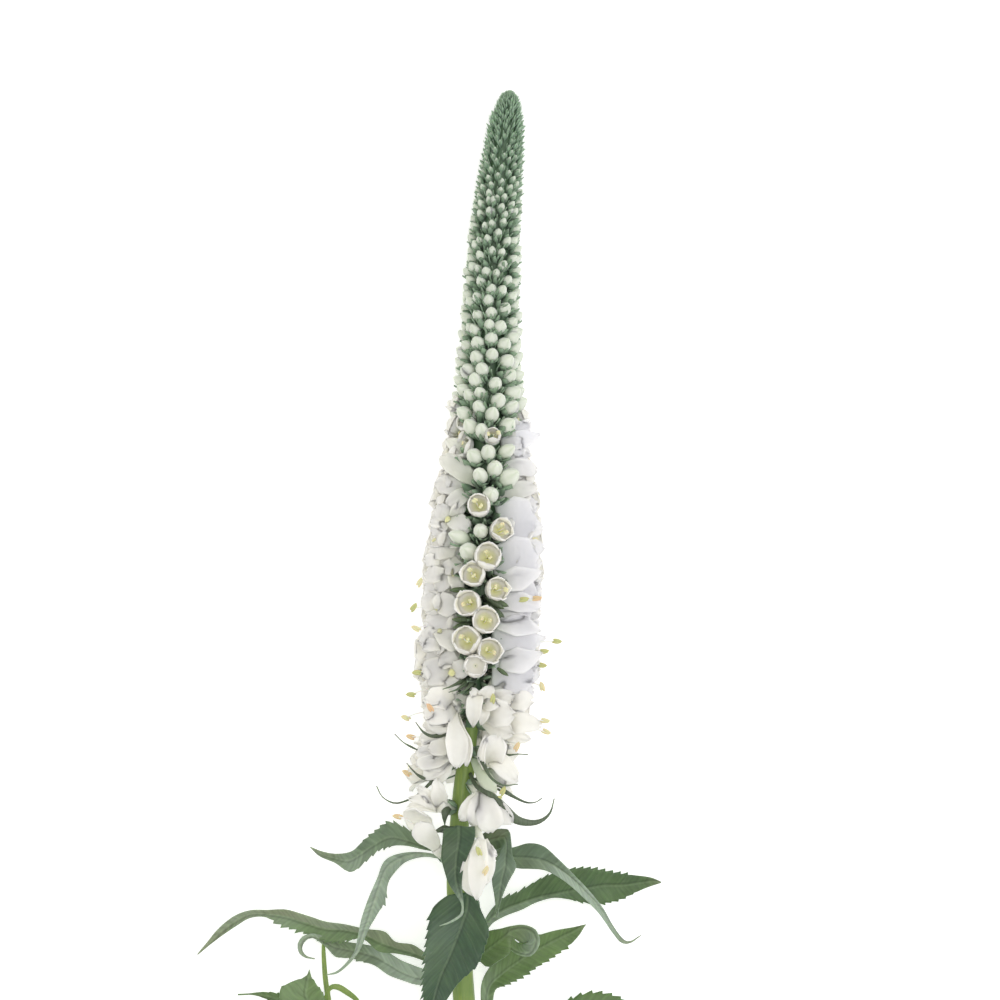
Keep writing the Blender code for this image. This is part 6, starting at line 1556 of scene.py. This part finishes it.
        (-23.8, -57.04, 7.3, 0.04, -0.06, 0, -0.04, -0.06, 0),
    ],
}
# how far along each edge its teeth start and end, and their depth: right edge, left edge
leafTeeth = {
    "leaf_upper_left": ((0.2, 0.68, 0.6), (0.4, 0.72, 0.56)),
    "leaf_upper_left_drooping": ((0.44, 0.56, 0.88), (0, 0, 0)),
    "leaf_upper_right_front": ((0, 0, 0), (0.5, 0.62, 0.24)),
    "leaf_middle_front": ((0.42, 0.94, 0.68), (0.5, 0.75, 0.28)),
    "leaf_middle_right": ((0.58, 0.93, 0.48), (0.25, 0.9, 0.48)),
    "leaf_middle_left_long": ((0, 0, 0), (0.36, 0.72, 0.76)),
    "leaf_middle_left_curled": ((0, 0, 0), (0.5, 0.66, 0.4)),
    "leaf_lower_right_raised": ((0.45, 0.93, 0.6), (0.5, 0.8, 0.2)),
    "leaf_side_shoot": ((0.35, 0.9, 0.24), (0.35, 0.9, 0.24)),
}
noTeeth = ((0, 0, 0), (0, 0, 0))
leafYouth = {
    "leaf_upper_left": 0.42, "leaf_upper_left_drooping": 0.3, "leaf_upper_front": 0.0,
    "leaf_upper_right_front": 0.1, "leaf_upper_right": 0.25, "leaf_middle_front": 0.08,
    "leaf_middle_right": 0.4, "leaf_middle_left_long": 0.6, "leaf_middle_left_curled": 0.35,
    "leaf_middle_right_rolled": 0.5, "leaf_lower_right_raised": 0.62, "leaf_lower_right": 0.6,
    "leaf_lower_left": 0.6, "leaf_lower_front": 0.4, "leaf_lower_back": 0.6, "leaf_side_shoot": 0.78,
}


def seatedRoute(route):  # the first point moved to just inside the swollen stem
    first = Vector(route[0])
    *middle, radius = pointAtY(first.y)
    along = (Vector(pointAtY(first.y + 1)[:3]) - Vector(pointAtY(first.y - 1)[:3])).normalized()
    out = first - Vector(middle)
    out = (out - along * out.dot(along)).normalized()
    seat = Vector(middle) + out * stemRadius(first.y, radius)
    return [tuple(seat - out * 0.4), tuple(seat + out * 1.3), *route[1:]]


columns = (-1.0, -0.86, -0.62, -0.36, -0.12, 0.0, 0.12, 0.36, 0.62, 0.86, 1.0)
toothPhases = (0.0, 0.45, 0.85)
toothHeights = (0.0, 0.45, 1.0)
lowest = 0.3
toothShares = {1.0: 1, 0.86: 0.3}  # how far the outer columns follow a tooth
fineSteps = 600


def alongLeaf(rows):  # a fine line through the rows, its length, the count of teeth, the mesh rows
    coarse = smoothLine(rows, 60)
    length = sum(math.dist(a[:3], b[:3]) for a, b in zip(coarse, coarse[1:]))
    teeth = round(length / leafLook["toothMm"])
    places = [(tooth + phase) / teeth for tooth in range(teeth) for phase in toothPhases] + [1.0]
    return smoothLine(rows, fineSteps), length, teeth, places


def pucker(distance, u, width, depth):  # the blade is drawn together between the side veins
    wave = math.sin((distance - abs(u) * width * leafLook["veinSlope"]) * fullTurn / leafLook["veinEveryMm"])
    return depth * wave * (math.sin(math.pi * abs(u)) * min(width / 2.5, 1))


def sheetFromRoute(name, draw):  # rows of points, map places and tints of a leaf given by its midrib
    leaf = leafTable[name]
    finer, length, _, places = alongLeaf(seatedRoute(leaf["route"]))
    faceRows = [(i / (len(leaf["faces"]) - 1), *f) for i, f in enumerate(leaf["faces"])]
    bend = math.log(0.5) / math.log(leaf["widest"])
    phase = draw.uniform(0, fullTurn)
    sheet, uvs = [], []
    for k, t in enumerate(places):
        at = min(int(t * fineSteps), fineSteps - 1)
        point = Vector(finer[at]).lerp(Vector(finer[at + 1]), t * fineSteps - at)
        along = (Vector(finer[min(at + 8, fineSteps)]) - Vector(finer[max(at - 8, 0)])).normalized()
        clear = min(max((point.z - lowest) / 1.6, 0), 1)
        face = Vector((0, 0, 1)).lerp(Vector(blend(faceRows, t)[1:]).normalized(), clear)
        side = face.cross(along).normalized()
        up = along.cross(side)
        fold = math.radians(leaf["fold"]) * clear
        half = leaf["halfWidth"] * max(math.sin(math.pi * t ** bend), 0.0) ** 1.15
        stalk = 0.75 if t < 0.5 else 0.16
        toothed = ease(0.13, 0.2, t) * (1 - ease(0.86, 0.93, t)) * toothHeights[k % 3]
        tooth = toothed * min(leafLook["toothDepth"], 0.2 * half)
        half = max(half - 0.3 * leafLook["toothDepth"] * ease(0.1, 0.2, t), 0.0)
        for u in columns:
            width = max(half, stalk) * abs(u) + tooth * toothShares.get(abs(u), 0)
            forward = 0.5 * tooth if abs(u) == 1 else 0.0
            sign = (u > 0) - (u < 0)
            ripple = 0.16 * math.sin(t * length * 1.1 + phase + sign * 1.3) * u * u * min(half / 3, 1)
            waves = (ripple + pucker(t * length, u, half, 0.10)) * (0.3 + 0.7 * clear)
            rise = width * math.sin(fold) * (1 - 0.25 * abs(u)) + waves
            sheet.append(point + side * sign * width * math.cos(fold) + up * rise + along * forward)
            uvs.append((sign * width, t * length))
    return sheet, uvs, [0.0] * len(uvs), [0.0] * len(uvs)


def railRows(name):  # the rows of a leaf, each as midrib, right edge, left edge and four shares
    rows, tints = [], []
    for steps in leafRails[name]:
        middle, tints = steps[:3], steps[9:] or tints
        right, left = ([round(a + b, 3) for a, b in zip(middle, steps[i:])] for i in (3, 6))
        rows.append([*Vector(middle), *Vector(right), *Vector(left), *tints])
    if name == "leaf_side_shoot":
        return rows
    first = rows[0]  # the stalk is carried on to just inside the swollen stem
    seat, outside = (Vector(p) for p in seatedRoute([tuple(first[:3])])[:2])
    for target in (outside, seat):
        shift = target - Vector(first[:3])
        if shift.length > 0.3:
            moved = [Vector(first[i:i + 3]) + shift for i in (0, 3, 6)]
            rows.insert(0, [c for p in moved for c in p] + first[9:])
    return rows


def sheetFromRails(name, draw):
    finer, length, teeth, places = alongLeaf(railRows(name))
    phase = draw.uniform(0, fullTurn)
    uneven = [[draw.uniform(0.55, 1.3) for _ in range(teeth + 1)] for _ in range(2)]
    sheet, uvs, pale, wilt = [], [], [], []
    for k, t in enumerate(places):
        at = min(int(t * fineSteps), fineSteps - 1)
        low, high = finer[at], finer[at + 1]
        values = [a + (b - a) * (t * fineSteps - at) for a, b in zip(low, high)]
        middle, right, left = Vector(values[:3]), Vector(values[3:6]), Vector(values[6:9])
        along = (Vector(high[:3]) - Vector(low[:3])).normalized()
        normal = along.cross(left - right)
        normal = normal.normalized() if normal.length > 1e-6 else Vector((0, 0, 1))
        for u in columns:
            half = 0 if u < 0 else 1
            out = (right, left)[half] - middle
            width = out.length
            start, end, depth = leafTeeth.get(name, noTeeth)[half]
            toothed = ease(start, start + 0.05, t) * (1 - ease(end - 0.05, end, t)) * toothHeights[k % 3]
            toothed *= uneven[half][k // 3]
            tooth = toothed * min(depth, 0.4 * width) * toothShares.get(abs(u), 0)
            ripple = 0.12 * math.sin(t * length * 1.1 + phase + half * 2.6) * u * u * min(width / 3, 1)
            crown = 0.05 * width * math.sin(math.pi * abs(u))
            p = middle + out * abs(u) + normal * (ripple + pucker(t * length, u, width, 0.09) - crown)
            if width > 1e-6:
                p += out.normalized() * tooth + along * 0.6 * tooth
            p.z = max(p.z, lowest)
            sheet.append(p)
            uvs.append(((-1 if u < 0 else 1) * width * abs(u), t * length))
            share = 0.5 + 0.5 * min(max(u / 0.12, -1), 1)
            pale.append(values[9] * (1 - share) + values[10] * share)
            wilt.append(values[11] * (1 - share) + values[12] * share)
    return sheet, uvs, pale, wilt


def makeLeaf(name):
    draw = random.Random(name)
    sheet, uvs, pale, wilt = (sheetFromRails if name in leafRails else sheetFromRoute)(name, draw)
    wide = len(columns)
    count = len(sheet) // wide
    thick = leafLook["thickness"] / 2
    vertices, under = [], []
    for i, place in enumerate(sheet):
        k, c = divmod(i, wide)
        ahead = sheet[min(k + 1, count - 1) * wide + c] - sheet[max(k - 1, 0) * wide + c]
        across = sheet[k * wide + min(c + 1, wide - 1)] - sheet[k * wide + max(c - 1, 0)]
        normal = ahead.cross(across)
        normal = normal.normalized() if normal.length > 1e-9 else Vector((0, 0, 1))
        edge = leafLook["edgeShare"] if abs(columns[c]) == 1 else 1.0
        rib = 1.0 + leafLook["ribBelow"] * math.exp(-(columns[c] / 0.1) ** 2)
        for height, least, shown in ((1, 0.25, pale[i]), (-rib, 0.02, 1.0)):
            p = place + normal * thick * edge * height
            vertices.append((p.x, p.y, max(p.z, least)))
            under.append(shown)
    wilt, uvs = ([value for value in values for _ in (0, 1)] for values in (wilt, uvs))
    layers = {"under": under, "youth": [leafYouth[name]] * len(vertices), "olive": wilt}
    mesh = meshFrom(name, vertices, skinFaces(count, wide), layers, uvs)
    finishPiece(name + "_blade", weld(mesh, 0.001), [leafFinish], "leaf", name)
    return len(mesh.polygons)


faceCount = sum(makeLeaf(name) for name in leafYouth)
print("leaves:", len(leafYouth), "blades,", faceCount, "faces")


# floor, light and camera

stageSettings = {
    "floor": "#FFFFFF",
    "floorGlow": 0.35,
    "world": 0.7,
    "lens": 250.0,
    "middle": (14.4, 37.0, 10.0),
    "fieldMm": 200.0,
}


def makeFloor():  # matt white paper board, lit a little from within so that it stays plain
    vertices = [(-1500, -1500, 0), (1500, -1500, 0), (1500, 1500, 0), (-1500, 1500, 0)]
    floor = bpy.data.objects.new("floor", meshFrom("floor", vertices, [(0, 1, 2, 3)], smooth=False))
    bpy.context.scene.collection.objects.link(floor)
    made, _, shader, _ = startFinish("whiteBoard")
    white = toLinear(stageSettings["floor"])
    for socket, value in {
        "Base Color": white, "Roughness": 0.9, "Emission Color": white,
        "Emission Strength": stageSettings["floorGlow"],
    }.items():
        shader.inputs[socket].default_value = value
    floor.data.materials.append(made)


def addLight(name, place, power, size, colour):
    lamp = bpy.data.lights.new(name, "AREA")
    lamp.energy = power
    lamp.size = size
    lamp.color = toLinear(colour)[:3]
    holder = bpy.data.objects.new(name, lamp)
    holder.location = place
    aim = Vector(stageSettings["middle"]) * mm - Vector(place)
    holder.rotation_euler = aim.to_track_quat("-Z", "Y").to_euler()
    bpy.context.scene.collection.objects.link(holder)


makeFloor()
addLight("keyFromRight", (0.8, 0.25, 0.9), 3.0, 0.5, "#F8F6FF")
addLight("softFromLeft", (-0.7, 0.2, 1.0), 1.0, 0.8, "#FFF4DC")
addLight("overhead", (0.05, 0.05, 1.4), 4.0, 0.35, "#FFFDF6")
world = bpy.data.worlds.new("studio")
bpy.context.scene.world = world
world.use_nodes = True
world.node_tree.nodes["Background"].inputs["Color"].default_value = toLinear("#FFFFFF")
world.node_tree.nodes["Background"].inputs["Strength"].default_value = stageSettings["world"]
bpy.context.scene.view_settings.view_transform = "Standard"

camera = bpy.data.objects.new("camera", bpy.data.cameras.new("camera"))
camera.data.lens = stageSettings["lens"]
camera.data.sensor_width = 36.0
camera.data.clip_end = 20.0
x, y, z = (c * mm for c in stageSettings["middle"])
camera.location = (x, y, z + stageSettings["fieldMm"] * mm * stageSettings["lens"] / camera.data.sensor_width)
bpy.context.scene.collection.objects.link(camera)
bpy.context.scene.camera = camera
